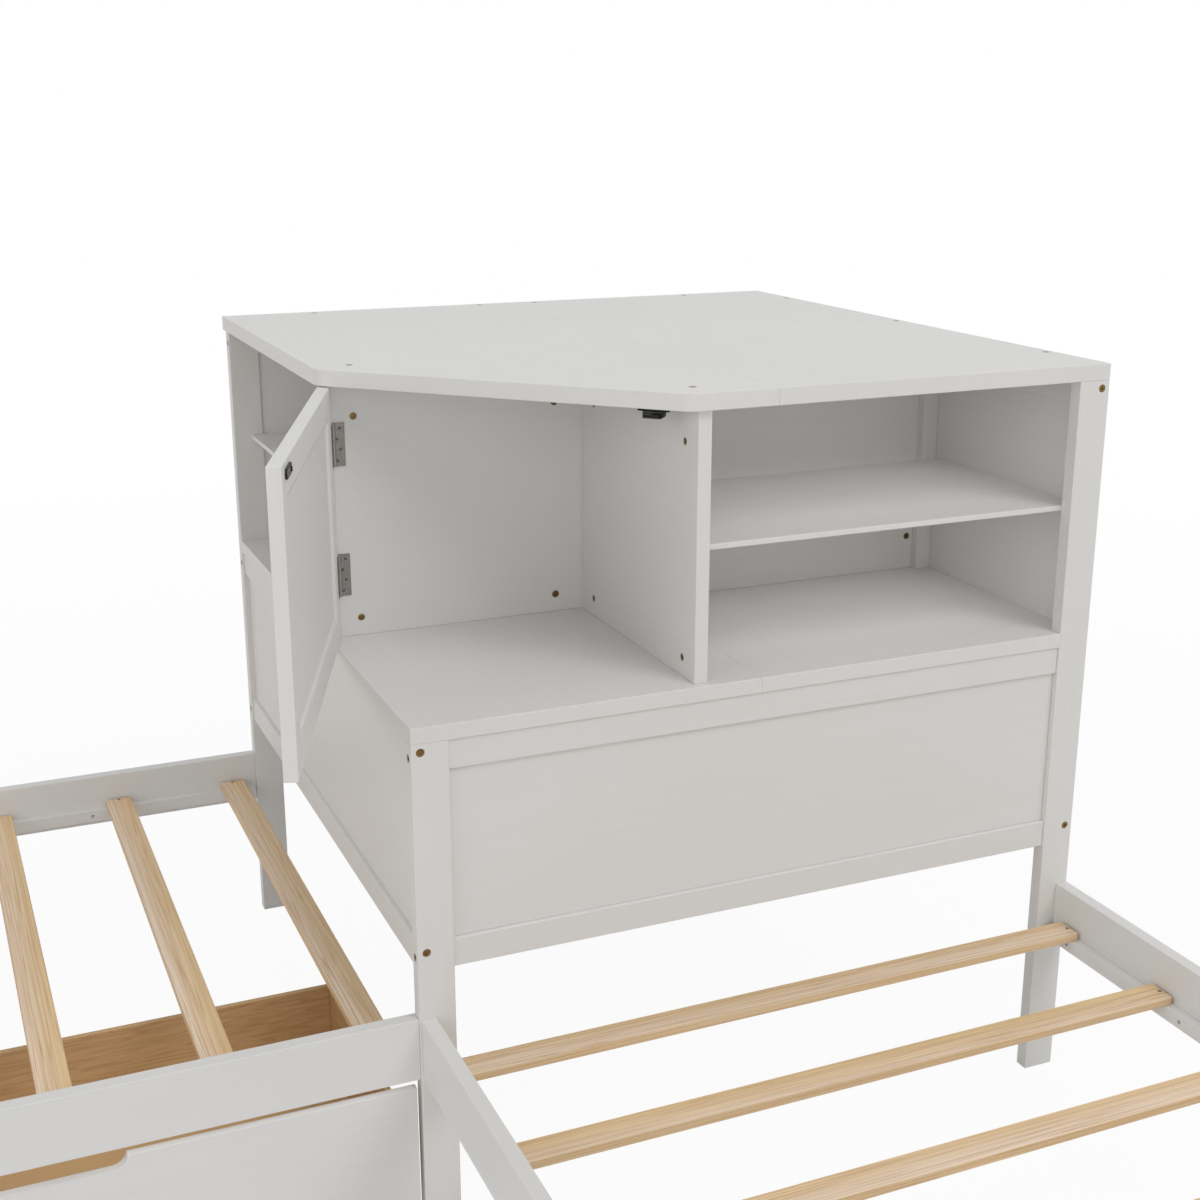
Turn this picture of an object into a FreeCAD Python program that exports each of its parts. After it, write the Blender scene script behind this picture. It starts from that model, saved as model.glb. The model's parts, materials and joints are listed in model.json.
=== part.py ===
import FreeCAD, Part
import os
import re
import Sketcher

# L-shaped bed: a corner cabinet with a bed running from each of its two open sides.
# Sizes are laid out from the inner corner of the L.
# +X runs along the cabinet's front, +Y towards its back and +Z up.
# Every piece is then moved so that the middle of the whole outline, on the floor, is the origin.

SLAT_COUNT = 10
DRAWER_COUNT = 2
KNUCKLE_COUNT = 5

SIZES = {
    # corner cabinet, a square box on four posts
    "cabinet_width": 1060,
    "post_width": 51,
    "post_thickness": 22,
    "deck_top": 738,
    "deck_thickness": 22,
    "deck_seam_share": 0.4764,
    "slab_top": 1139,
    "slab_thickness": 24,
    "slab_seam_share": 0.4896,
    "slab_left_overhang": 4,
    "slab_back_overhang": 5,
    "slab_cut_left": 399,
    "slab_cut_front": 390,
    "slab_corner_radius": 30,
    "rail_height": 41,
    "rail_thickness": 18.5,
    "rail_recess": 3.5,
    "lower_rail_bottom": 392,
    "panel_recess": 6,
    "panel_thickness": 9,
    # walls and shelves inside the cabinet
    "wall_thickness": 20,
    "wall_left_end": 19,
    "compartment_width": 406,
    "compartment_depth": 407,
    "divider_setback": 11.5,
    "left_bay_depth": 351,
    "batten_width": 28,
    "batten_proud": 15,
    "batten_flange_width": 31,
    "batten_flange_thickness": 18,
    "shelf_rise_share": 0.509,
    "shelf_thickness": 8,
    "right_shelf_back_gap": 27,
    "left_shelf_setback": 31,
    # door, hinges and latch on the slanted corner; the door stands open
    "hinge_axis_in": 1,
    "hinge_axis_proud": 3.6,
    "door_open_angle": 109.9,
    "door_slant_inset": 0.47244,
    "door_hinge_gap": 4,
    "door_lap": 5,
    "door_thickness": 18,
    "door_end_gap": 1.5,
    "door_frame_width": 40,
    "door_panel_thickness": 8,
    "door_panel_recess": 5,
    "leaf_height": 63,
    "leaf_width": 17,
    "leaf_thickness": 2,
    "knuckle_radius": 3,
    "knuckle_gap": 0.3,
    "pin_radius": 1.5,
    "pin_clearance": 0.05,
    "pin_head_radius": 2.4,
    "pin_head_height": 1.2,
    "hinge_top_share": 0.223,
    "hinge_bottom_share": 0.255,
    "latch_end_margin": 73,
    "latch_length": 28,
    "latch_depth": 16,
    "latch_height": 18,
    "latch_setback": 7,
    "latch_ear_length": 45,
    "latch_ear_depth": 12,
    "latch_ear_thickness": 8,
    "plunger_width": 10,
    "plunger_offset": 6,
    "plunger_rise": 5,
    "plunger_height": 5,
    "plunger_length": 14,
    "plunger_travel": 5,
    "plunger_clearance": 0.3,
    "plunger_tip_gap": 0.4,
    "strike_length": 48,
    "strike_height": 13,
    "strike_thickness": 2.5,
    "strike_offset": 25,
    "strike_drop": 16,
    # beds
    "bed_length": 1985,
    "bed_rail_top": 323.5,
    "bed_rail_height": 91,
    "bed_rail_thickness": 20,
    "bed_rail_inset": 3,
    "slat_width": 44.5,
    "slat_thickness": 12,
    "slat_corner_radius": 5,
    "slat_end_gap": 3,
    "first_slat": 23,
    "ledger_thickness": 14,
    "ledger_height": 22,
    "ledger_end_gap": 4,
    "right_ledger_top": 257,
    "left_ledger_top": 265,
    # drawers under the left bed
    "drawer_gap": 6,
    "drawer_front_top": 221,
    "drawer_front_bottom": 14,
    "drawer_front_thickness": 12,
    "drawer_front_inset": 3,
    "drawer_box_inset": 16,
    "drawer_box_height": 152,
    "drawer_box_bottom": 28,
    "drawer_box_depth": 382,
    "ply_thickness": 9,
    "drawer_base_thickness": 6,
    "drawer_base_rise": 6,
    "scoop_width": 210,
    "scoop_depth": 17.5,
    "scoop_corner_radius": 20,
    "wheel_radius": 14,
    "wheel_width": 14,
    "wheel_edge_round": 2,
    "wheel_floor_gap": 0.3,
    "wheel_side_gap": 1,
    "axle_radius": 3,
    "axle_clearance": 0.05,
    "fork_thickness": 2.5,
    "fork_width": 16,
    "fork_drop": 8,
    "fork_plate_length": 40,
    "caster_inset": 61.5,
    # bolts and barrel nuts
    "bolt_head_radius": 5.5,
    "bolt_head_height": 3,
    "bolt_sink": 0.5,
    "bolt_radius": 3,
    "bolt_clearance": 0.3,
    "bolt_bite": 40,
    "nut_radius": 5,
    "nut_length": 14,
    "upper_nut_margin": 48,
    "lower_nut_margin": 27.5,
    "nut_backset": 45.5,
    "cross_bolt_rise": 9,
    "cross_bolt_drop": 1,
    "front_nut_inset": 51,
    "batten_bolt_inset": 12,
    "batten_bolt_margin": 56,
    "back_bolt_left_margin": 157,
    "back_bolt_right_margin": 172,
    "back_bolt_before_seam": 51,
    "back_bolt_after_seam": 57,
    "side_bolt_front_margin": 132,
    "side_bolt_back_margin": 135,
    "side_bolt_middle_share": 0.51,
    "bed_bolt_stagger": 11,
    # softened edges and cuts
    "edge_round": 1.2,
    "slat_round": 1.5,
    "ply_round": 0.8,
    "hardware_round": 0.4,
    "overrun": 2,
}

# Places worked out from the sizes above.
PLACES = {
    "centre_x": "(cabinet_width - bed_length) / 2",
    "centre_y": "(cabinet_width + slab_back_overhang - bed_length) / 2",
    "right_post_left": "cabinet_width - post_width",
    "back_post_front": "cabinet_width - post_thickness",
    "deck_under": "deck_top - deck_thickness",
    "deck_seam": "cabinet_width * deck_seam_share",
    "slab_seam": "cabinet_width * slab_seam_share",
    "slab_under": "slab_top - slab_thickness",
    "storey": "slab_under - deck_top",
    "shelf_top": "deck_top + storey * shelf_rise_share",
    "far_rail_inner": "cabinet_width - rail_recess - rail_thickness",
    "far_panel_inner": "cabinet_width - rail_recess - panel_recess - panel_thickness",
    "near_rail_inner": "rail_recess + rail_thickness",
    "near_panel_outer": "rail_recess + panel_recess",
    "near_rail_middle": "rail_recess + rail_thickness / 2",
    "far_rail_middle": "cabinet_width - rail_recess - rail_thickness / 2",
    "deck_rail_bottom": "deck_under - rail_height",
    "top_rail_bottom": "slab_under - rail_height",
    "lower_rail_top": "lower_rail_bottom + rail_height",
    "cross_wall_back": "compartment_depth + wall_thickness",
    "cross_wall_middle": "compartment_depth + wall_thickness / 2",
    "divider_right": "compartment_width + wall_thickness",
    "divider_middle": "compartment_width + wall_thickness / 2",
    "bay_wall_middle": "left_bay_depth + wall_thickness / 2",
    "batten_left": "far_panel_inner - batten_width",
    "batten_front": "compartment_depth - batten_proud",
    "hinge_x": "wall_left_end + hinge_axis_in",
    "hinge_y": "compartment_depth - hinge_axis_proud",
    "slant_across": "compartment_width - hinge_x",
    "slant_forward": "hinge_y - divider_setback",
    "door_closed_angle": "atan((slant_forward - door_slant_inset) / slant_across)",
    "divider_away": "slant_across * cos(door_closed_angle)",
    "divider_across": "slant_forward * sin(door_closed_angle)",
    "door_reach": "divider_away + divider_across + door_lap",
    "latch_reach": "door_reach - latch_end_margin",
    "door_inner_face": "-leaf_thickness / 2",
    "door_outer_face": "door_inner_face - door_thickness",
    "door_bottom": "deck_top + door_end_gap",
    "door_head": "slab_under - door_end_gap",
    "latch_front": "door_inner_face + strike_thickness + plunger_tip_gap + latch_setback",
    "plunger_tip": "door_inner_face + strike_thickness + plunger_tip_gap",
    "plunger_reach": "latch_reach + plunger_offset",
    "plunger_middle": "slab_under - latch_height + plunger_rise",
    "strike_reach": "latch_reach + strike_offset",
    "strike_middle": "slab_under - strike_drop",
    "hinge_slack": "storey - 2 * leaf_height",
    "lower_leaf_foot": "deck_top + hinge_bottom_share * hinge_slack",
    "upper_leaf_foot": "slab_under - leaf_height - hinge_top_share * hinge_slack",
    "knuckle_height": "(leaf_height - (%d) * knuckle_gap) / %d" % (KNUCKLE_COUNT - 1, KNUCKLE_COUNT),
    "bed_rail_bottom": "bed_rail_top - bed_rail_height",
    "bed_rail_middle": "bed_rail_top - bed_rail_height / 2",
    "inner_rail_inner": "bed_rail_inset + bed_rail_thickness",
    "inner_rail_middle": "bed_rail_inset + bed_rail_thickness / 2",
    "outer_rail_inner": "cabinet_width - bed_rail_thickness",
    "outer_rail_middle": "cabinet_width - bed_rail_thickness / 2",
    "foot_inner": "post_thickness - bed_length",
    "slat_pitch": "(bed_length - post_thickness - 2 * first_slat - slat_width) / %d" % (SLAT_COUNT - 1),
    "drawer_width": "(bed_length - post_thickness - %d * drawer_gap) / %d" % (DRAWER_COUNT + 1, DRAWER_COUNT),
    "drawer_front_back": "drawer_front_inset + drawer_front_thickness",
    "drawer_box_back": "drawer_front_back + drawer_box_depth",
    "drawer_box_top": "drawer_box_bottom + drawer_box_height",
    "drawer_base_bottom": "drawer_box_bottom + drawer_base_rise",
    "axle_height": "wheel_floor_gap + wheel_radius",
    "fork_half_width": "wheel_width / 2 + wheel_side_gap + fork_thickness",
    "lower_nut_height": "deck_top + lower_nut_margin",
    "upper_nut_height": "slab_under - upper_nut_margin",
}

FUNCTIONS = {"atan", "cos", "sin"}
AXES = {
    "+X": FreeCAD.Vector(1, 0, 0),
    "-X": FreeCAD.Vector(-1, 0, 0),
    "+Y": FreeCAD.Vector(0, 1, 0),
    "-Y": FreeCAD.Vector(0, -1, 0),
    "+Z": FreeCAD.Vector(0, 0, 1),
    "-Z": FreeCAD.Vector(0, 0, -1),
}

doc = FreeCAD.newDocument("l_shaped_bed")
sheet = doc.addObject("Spreadsheet::Sheet", "Sizes")
for row, (alias, value) in enumerate(SIZES.items(), start=1):
    sheet.set("A%d" % row, alias)
    sheet.set("B%d" % row, str(value))
    sheet.setAlias("B%d" % row, alias)
doc.recompute()

pieces = {}
holes = {}


def expand(text):
    """Turn words such as deck_under into an expression on the sheet."""
    def swap(match):
        word = match.group(0)
        if word in FUNCTIONS:
            return word
        if word in PLACES:
            return "(" + expand(PLACES[word]) + ")"
        return "Sizes." + word
    return re.sub(r"[a-z][a-z_]*", swap, text)


def number(text):
    """The present value of an expression."""
    return float(sheet.evalExpression(expand(text)))


def bind(feature, prop, text):
    feature.setExpression(prop, expand(text))


def make(kind, name):
    return doc.addObject(kind, name)


def place(feature, x, y, z, swing=None):
    """Put a feature at a point, or at a point of the door's own frame that turns about the hinge axis."""
    if swing:
        bind(feature, "Placement.Rotation.Angle", swing)
        x, y = (
            "hinge_x + (%s) * cos(%s) - (%s) * sin(%s)" % (x, swing, y, swing),
            "hinge_y + (%s) * sin(%s) + (%s) * cos(%s)" % (x, swing, y, swing),
        )
    bind(feature, "Placement.Base.x", "%s - centre_x" % x)
    bind(feature, "Placement.Base.y", "%s - centre_y" % y)
    bind(feature, "Placement.Base.z", z)


def rounded(feature, radius, pick=None):
    """Round the picked edges of a feature, or all of them."""
    feature.recompute(True)
    edges = feature.Shape.Edges
    chosen = [index for index, edge in enumerate(edges, start=1) if pick is None or pick(edge)]
    soft = make("Part::Fillet", feature.Name + "_soft")
    soft.Base = feature
    soft.Edges = [(index, number(radius), number(radius)) for index in chosen]
    return soft


def is_upright(edge):
    tangent = edge.tangentAt(edge.FirstParameter)
    return abs(tangent.z) > max(abs(tangent.x), abs(tangent.y))


def is_level(edge):
    return not is_upright(edge)


def block(name, x, y, z, swing=None):
    """A plain box between the low and high ends given for each direction."""
    box = make("Part::Box", name)
    bind(box, "Length", "(%s) - (%s)" % (x[1], x[0]))
    bind(box, "Width", "(%s) - (%s)" % (y[1], y[0]))
    bind(box, "Height", "(%s) - (%s)" % (z[1], z[0]))
    place(box, x[0], y[0], z[0], swing)
    return box


def rod(name, radius, length, x, y, z, axis="+Z", swing=None):
    """A cylinder that starts at a point and runs along an axis."""
    cylinder = make("Part::Cylinder", name)
    bind(cylinder, "Radius", radius)
    bind(cylinder, "Height", length)
    cylinder.Placement = FreeCAD.Placement(
        FreeCAD.Vector(), FreeCAD.Rotation(FreeCAD.Vector(0, 0, 1), AXES[axis])
    )
    place(cylinder, x, y, z, swing)
    return cylinder


def fuse(name, features):
    joined = make("Part::MultiFuse", name)
    joined.Shapes = features
    return joined


def cut(name, base, tool):
    result = make("Part::Cut", name)
    result.Base = base
    result.Tool = tool
    return result


def bundle(name, features):
    group = make("Part::Compound", name)
    group.Links = features
    return group


def add(label, feature):
    """Make a feature one solid of a sub-part."""
    pieces.setdefault(label, []).append(feature)


def drill(label, tool):
    """Cut a sub-part with a tool when the sub-part is finished."""
    holes.setdefault(label, []).append(tool)


def board(label, x, y, z, swing=None, radius="edge_round"):
    """A board with softened edges that is one solid of a sub-part."""
    name = "%s_blank_%d" % (label, len(pieces.get(label, [])))
    add(label, rounded(block(name, x, y, z, swing), radius))


def outline_board(label, points, low, high, big_round=None):
    """A board sawn to an outline; big_round gives a radius and the corners that it rounds."""
    body = make("PartDesign::Body", label + "_body")
    plane = next(item for item in body.Origin.OriginFeatures if item.Role == "XY_Plane")
    sketch = body.newObject("Sketcher::SketchObject", label + "_outline")
    sketch.AttachmentSupport = (plane, "")
    sketch.MapMode = "FlatFace"
    corners = [FreeCAD.Vector(number(x), number(y), 0) for x, y in points]
    count = len(corners)
    for index, corner in enumerate(corners):
        sketch.addGeometry(Part.LineSegment(corner, corners[(index + 1) % count]), False)
    for index in range(count):
        sketch.addConstraint(Sketcher.Constraint("Coincident", index, 2, (index + 1) % count, 1))
    for index, (x, y) in enumerate(points):
        for direction, text in (("DistanceX", x), ("DistanceY", y)):
            constraint = Sketcher.Constraint(direction, -1, 1, index, 1, number(text))
            place_number = sketch.addConstraint(constraint)
            sketch.setExpression("Constraints[%d]" % place_number, expand(text))
    pad = body.newObject("PartDesign::Pad", label + "_pad")
    pad.Profile = sketch
    pad.Length = number("(%s) - (%s)" % (high, low))
    bind(pad, "Length", "(%s) - (%s)" % (high, low))
    tip = pad
    if big_round:
        doc.recompute()
        radius, wanted = big_round
        spots = [corners[index] for index in wanted]
        tip = body_fillet(body, pad, label + "_corners", radius, lambda edge: stands_at(edge, spots))
    doc.recompute()
    body_fillet(body, tip, label + "_soft", "edge_round", lambda edge: True)
    place(body, "0", "0", low)
    add(label, body)


def stands_at(edge, spots):
    """Whether an upright edge stands on one of the given corners."""
    if not is_upright(edge):
        return False
    foot = edge.Vertexes[0].Point
    return any((FreeCAD.Vector(foot.x, foot.y, 0) - spot).Length < number("edge_round") for spot in spots)


def body_fillet(body, base, name, radius, pick):
    fillet = body.newObject("PartDesign::Fillet", name)
    names = ["Edge%d" % index for index, edge in enumerate(base.Shape.Edges, start=1) if pick(edge)]
    fillet.Base = (base, names)
    fillet.Radius = number(radius)
    bind(fillet, "Radius", radius)
    return fillet


def along(axis, point, distance):
    """The point moved by a distance along an axis, as expressions."""
    vector = AXES[axis]
    moved = []
    for text, share in zip(point, (vector.x, vector.y, vector.z)):
        if share > 0:
            moved.append("%s + (%s)" % (text, distance))
        elif share < 0:
            moved.append("%s - (%s)" % (text, distance))
        else:
            moved.append(text)
    return moved


def bolt(axis, point, length, boards):
    """A bolt from a face, its head sunk flush, through the boards named. Returns its clearance hole."""
    index = len(pieces.get("frame_bolts", []))
    name = "bolt_%d" % index
    start = along(axis, point, "bolt_sink")
    head = rod(name + "_head", "bolt_head_radius", "bolt_head_height", *start, axis)
    shank = rod(name + "_shank", "bolt_radius", "%s - bolt_sink" % length, *start, axis)
    add("frame_bolts", fuse(name, [head, shank]))
    mouth = along(axis, point, "-overrun")
    recess_depth = "overrun + bolt_sink + bolt_head_height + bolt_clearance"
    recess = rod(name + "_recess", "bolt_head_radius + bolt_clearance", recess_depth, *mouth, axis)
    hole_depth = "overrun + %s + bolt_clearance" % length
    hole = rod(name + "_hole", "bolt_radius + bolt_clearance", hole_depth, *mouth, axis)
    for label in boards:
        drill(label, recess)
        drill(label, hole)
    return hole


def barrel_nut(axis, point, label, hole):
    """A cross dowel let into a wall's face, with the bolt's hole through it."""
    index = len(pieces.get("barrel_nuts", []))
    name = "nut_%d" % index
    start = along(axis, point, "bolt_sink")
    blank = rod(name + "_blank", "nut_radius", "nut_length", *start, axis)
    add("barrel_nuts", cut(name, blank, hole))
    mouth = along(axis, point, "-overrun")
    depth = "overrun + bolt_sink + nut_length + bolt_clearance"
    drill(label, rod(name + "_hole", "nut_radius + bolt_clearance", depth, *mouth, axis))


def build_posts():
    near_x = ("0", "post_width")
    far_x = ("right_post_left", "cabinet_width")
    near_y = ("0", "post_thickness")
    far_y = ("back_post_front", "cabinet_width")
    board("front_corner_post", near_x, near_y, ("0", "deck_under"))
    board("front_right_post", far_x, near_y, ("0", "slab_under"))
    board("back_left_post", near_x, far_y, ("0", "slab_under"))
    board("back_right_post", far_x, far_y, ("0", "slab_under"))


def build_sides():
    """Rails between the posts on all four sides, with recessed panels between the rails."""
    across = ("post_width", "right_post_left")
    along_side = ("post_thickness", "back_post_front")
    near_rail = ("rail_recess", "near_rail_inner")
    far_rail = ("far_rail_inner", "cabinet_width - rail_recess")
    near_panel = ("near_panel_outer", "near_panel_outer + panel_thickness")
    far_panel = ("far_panel_inner", "far_panel_inner + panel_thickness")
    low = ["lower_rail_bottom", "deck_rail_bottom"]
    full = low + ["top_rail_bottom"]
    lower_gap = ("lower_rail_top", "deck_rail_bottom")
    upper_gap = ("deck_under", "top_rail_bottom")
    for level in low:
        height = (level, "%s + rail_height" % level)
        board("front_rails", across, near_rail, height)
        board("left_rails", near_rail, along_side, height)
    for level in full:
        height = (level, "%s + rail_height" % level)
        board("right_rails", far_rail, along_side, height)
        board("back_rails", across, far_rail, height)
    board("front_panel", across, near_panel, lower_gap)
    board("left_panel", near_panel, along_side, lower_gap)
    for gap in (lower_gap, upper_gap):
        board("right_panels", far_panel, along_side, gap)
        board("back_panels", across, far_panel, gap)


def build_deck_and_top():
    deck_left = [
        ("0", "0"),
        ("deck_seam", "0"),
        ("deck_seam", "far_panel_inner"),
        ("post_width", "far_panel_inner"),
        ("post_width", "back_post_front"),
        ("0", "back_post_front"),
    ]
    deck_right = [
        ("deck_seam", "0"),
        ("right_post_left", "0"),
        ("right_post_left", "post_thickness"),
        ("far_panel_inner", "post_thickness"),
        ("far_panel_inner", "back_post_front"),
        ("right_post_left", "back_post_front"),
        ("right_post_left", "far_panel_inner"),
        ("deck_seam", "far_panel_inner"),
    ]
    outline_board("deck_left_board", deck_left, "deck_under", "deck_top")
    outline_board("deck_right_board", deck_right, "deck_under", "deck_top")
    back = "cabinet_width + slab_back_overhang"
    top_left = [
        ("-slab_left_overhang", "slab_cut_left"),
        ("slab_cut_front", "0"),
        ("slab_seam", "0"),
        ("slab_seam", back),
        ("-slab_left_overhang", back),
    ]
    top_right = [
        ("slab_seam", "0"),
        ("cabinet_width", "0"),
        ("cabinet_width", back),
        ("slab_seam", back),
    ]
    outline_board("top_left_board", top_left, "slab_under", "slab_top", ("slab_corner_radius", [0, 1]))
    outline_board("top_right_board", top_right, "slab_under", "slab_top")


def build_walls_and_shelves():
    storey = ("deck_top", "slab_under")
    shelf = ("shelf_top - shelf_thickness", "shelf_top")
    board("cross_wall", ("wall_left_end", "batten_left"), ("compartment_depth", "cross_wall_back"), storey)
    board("divider", ("compartment_width", "divider_right"), ("divider_setback", "compartment_depth"), storey)
    bay_wall = ("left_bay_depth", "left_bay_depth + wall_thickness")
    board("left_bay_wall", bay_wall, ("cross_wall_back", "far_panel_inner"), storey)
    flange_left = "batten_left - batten_flange_width"
    flange_back = "cross_wall_back + batten_flange_thickness"
    batten = [
        ("batten_left", "batten_front"),
        ("far_panel_inner", "batten_front"),
        ("far_panel_inner", flange_back),
        (flange_left, flange_back),
        (flange_left, "cross_wall_back"),
        ("batten_left", "cross_wall_back"),
    ]
    outline_board("corner_batten", batten, *storey)
    rail_notch_z = ("top_rail_bottom", "slab_under + overrun")
    beside_rail = ("far_rail_inner", "far_panel_inner + overrun")
    batten_run = ("batten_front - overrun", "%s + overrun" % flange_back)
    drill("corner_batten", block("batten_notch", beside_rail, batten_run, rail_notch_z))
    bay_wall_run = ("left_bay_depth - overrun", "left_bay_depth + wall_thickness + overrun")
    drill("left_bay_wall", block("bay_wall_notch", bay_wall_run, beside_rail, rail_notch_z))
    left_shelf = [
        ("left_shelf_setback", "cross_wall_back"),
        ("left_bay_depth", "cross_wall_back"),
        ("left_bay_depth", "far_panel_inner"),
        ("post_width", "far_panel_inner"),
        ("post_width", "back_post_front"),
        ("left_shelf_setback", "back_post_front"),
    ]
    right_shelf_y = ("post_thickness", "compartment_depth - right_shelf_back_gap")
    board("right_shelf", ("divider_right", "far_panel_inner"), right_shelf_y, shelf)
    outline_board("left_shelf", left_shelf, *shelf)


def build_door():
    swing = "-door_open_angle"
    span = ("door_hinge_gap", "door_reach")
    body = ("door_outer_face", "door_inner_face")
    height = ("door_bottom", "door_head")
    inner_span = ("door_hinge_gap + door_frame_width", "door_reach - door_frame_width")
    board("door_hinge_stile", (span[0], inner_span[0]), body, height, swing)
    board("door_latch_stile", (inner_span[1], span[1]), body, height, swing)
    board("door_bottom_rail", inner_span, body, (height[0], "door_bottom + door_frame_width"), swing)
    board("door_top_rail", inner_span, body, ("door_head - door_frame_width", height[1]), swing)
    panel_face = "door_inner_face - door_panel_recess"
    panel = ("%s - door_panel_thickness" % panel_face, panel_face)
    panel_height = ("door_bottom + door_frame_width", "door_head - door_frame_width")
    board("door_panel", inner_span, panel, panel_height, swing)
    strike_span = ("strike_reach - strike_length / 2", "strike_reach + strike_length / 2")
    strike_body = ("door_inner_face", "door_inner_face + strike_thickness")
    strike_height = ("strike_middle - strike_height / 2", "strike_middle + strike_height / 2")
    board("latch_strike", strike_span, strike_body, strike_height, swing, "hardware_round")


def hinge_leaf(name, foot, wanted, plate, swing=None):
    """One leaf: a plate, with a tab to each of its own knuckles, all bored for the pin."""
    clear = "knuckle_radius + knuckle_gap"
    origin = ("0", "0") if swing else ("hinge_x", "hinge_y")
    head = "%s + leaf_height" % foot
    plate_x = ("%s + %s" % (origin[0], clear), "%s + leaf_width" % origin[0])
    features = [block(name + "_plate", plate_x, plate, (foot, head), swing)]
    for index in wanted:
        low = "%s + %d * (knuckle_height + knuckle_gap)" % (foot, index)
        high = "%s + knuckle_height" % low
        spot = "%s_%d" % (name, index)
        tab = block(spot + "_tab", (origin[0], plate_x[0]), plate, (low, high), swing)
        knuckle = rod(spot + "_knuckle", "knuckle_radius", "knuckle_height", *origin, low, "+Z", swing)
        features += [tab, knuckle]
    bore_foot = "%s - overrun" % foot
    bore_radius = "pin_radius + pin_clearance"
    bore_length = "leaf_height + 2 * overrun"
    bore = rod(name + "_bore", bore_radius, bore_length, *origin, bore_foot, "+Z", swing)
    return cut(name, fuse(name + "_solid", features), bore)


def build_hinges():
    wall_plate = ("compartment_depth - leaf_thickness", "compartment_depth")
    door_plate = ("door_inner_face - leaf_thickness", "door_inner_face")
    mortise_x = ("door_hinge_gap - overrun", "leaf_width")
    mortise_y = (door_plate[0], "door_inner_face + overrun")
    swing = "-door_open_angle"
    wall_knuckles = range(0, KNUCKLE_COUNT, 2)
    door_knuckles = range(1, KNUCKLE_COUNT, 2)
    for level in ("lower", "upper"):
        foot = level + "_leaf_foot"
        add("hinge_wall_leaves", hinge_leaf(level + "_wall_leaf", foot, wall_knuckles, wall_plate))
        add("hinge_door_leaves", hinge_leaf(level + "_door_leaf", foot, door_knuckles, door_plate, swing))
        stem = rod(level + "_pin_stem", "pin_radius", "leaf_height", "hinge_x", "hinge_y", foot)
        leaf_head = "%s + leaf_height" % foot
        mortise = block(level + "_mortise", mortise_x, mortise_y, (foot, leaf_head), swing)
        drill("door_hinge_stile", mortise)
        cap = rod(level + "_pin_cap", "pin_head_radius", "pin_head_height", "hinge_x", "hinge_y", leaf_head)
        add("hinge_pins", fuse(level + "_pin", [stem, cap]))


def build_latch():
    swing = "-(door_closed_angle)"
    half = "latch_length / 2"
    case_x = ("latch_reach - %s" % half, "latch_reach + %s" % half)
    case_y = ("latch_front", "latch_front + latch_depth")
    case = block("latch_case", case_x, case_y, ("slab_under - latch_height", "slab_under"), swing)
    ear_half = "latch_ear_length / 2"
    ear_x = ("latch_reach - %s" % ear_half, "latch_reach + %s" % ear_half)
    ear_y = ("latch_front", "latch_front + latch_ear_depth")
    ears = block("latch_ears", ear_x, ear_y, ("slab_under - latch_ear_thickness", "slab_under"), swing)
    slot_half = "(plunger_width / 2 + plunger_clearance)"
    slot_x = ("plunger_reach - %s" % slot_half, "plunger_reach + %s" % slot_half)
    slot_y = ("latch_front - overrun", "plunger_tip + plunger_length + plunger_travel + plunger_clearance")
    slot_rise = "(plunger_height / 2 + plunger_clearance)"
    slot_z = ("plunger_middle - %s" % slot_rise, "plunger_middle + %s" % slot_rise)
    slot = block("latch_slot", slot_x, slot_y, slot_z, swing)
    add("latch_body", cut("latch_body_solid", fuse("latch_shell", [case, ears]), slot))
    nose_x = ("plunger_reach - plunger_width / 2", "plunger_reach + plunger_width / 2")
    nose_y = ("plunger_tip", "plunger_tip + plunger_length")
    nose_z = ("plunger_middle - plunger_height / 2", "plunger_middle + plunger_height / 2")
    board("latch_plunger", nose_x, nose_y, nose_z, swing, "hardware_round")


def build_bed(side):
    """Rails, foot, ledgers and slats of one bed. The left bed mirrors the right one about the diagonal."""
    def turned(x, y, z):
        return (x, y, z) if side == "right" else (y, x, z)

    bed = side + "_bed_"
    run = ("foot_inner", "0")
    depth = ("bed_rail_bottom", "bed_rail_top")
    board(bed + "inner_rail", *turned(("bed_rail_inset", "inner_rail_inner"), run, depth))
    board(bed + "outer_rail", *turned(("outer_rail_inner", "cabinet_width"), run, depth))
    foot = ("-bed_length", "foot_inner")
    for leg in (("0", "post_width"), ("right_post_left", "cabinet_width")):
        board(bed + "foot_legs", *turned(leg, foot, ("0", "bed_rail_top")))
    foot_rail = ("rail_recess - bed_length", "foot_inner")
    board(bed + "foot_rail", *turned(("post_width", "right_post_left"), foot_rail, depth))
    ledger_top = side + "_ledger_top"
    ledger_run = ("foot_inner + ledger_end_gap", "-ledger_end_gap")
    ledger_depth = ("%s - ledger_height" % ledger_top, ledger_top)
    inner = ("inner_rail_inner", "inner_rail_inner + ledger_thickness")
    outer = ("outer_rail_inner - ledger_thickness", "outer_rail_inner")
    for strip in (inner, outer):
        board("slat_ledgers", *turned(strip, ledger_run, ledger_depth))
    reach = ("inner_rail_inner + slat_end_gap", "outer_rail_inner - slat_end_gap")
    slat_depth = (ledger_top, "%s + slat_thickness" % ledger_top)
    for index in range(SLAT_COUNT):
        far = "-first_slat - %d * slat_pitch - slat_width" % index
        width = (far, "%s + slat_width" % far)
        blank = block("%sslat_%d" % (bed, index), *turned(reach, width, slat_depth))
        add(bed + "slats", rounded(rounded(blank, "slat_corner_radius", is_upright), "slat_round", is_level))


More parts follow.
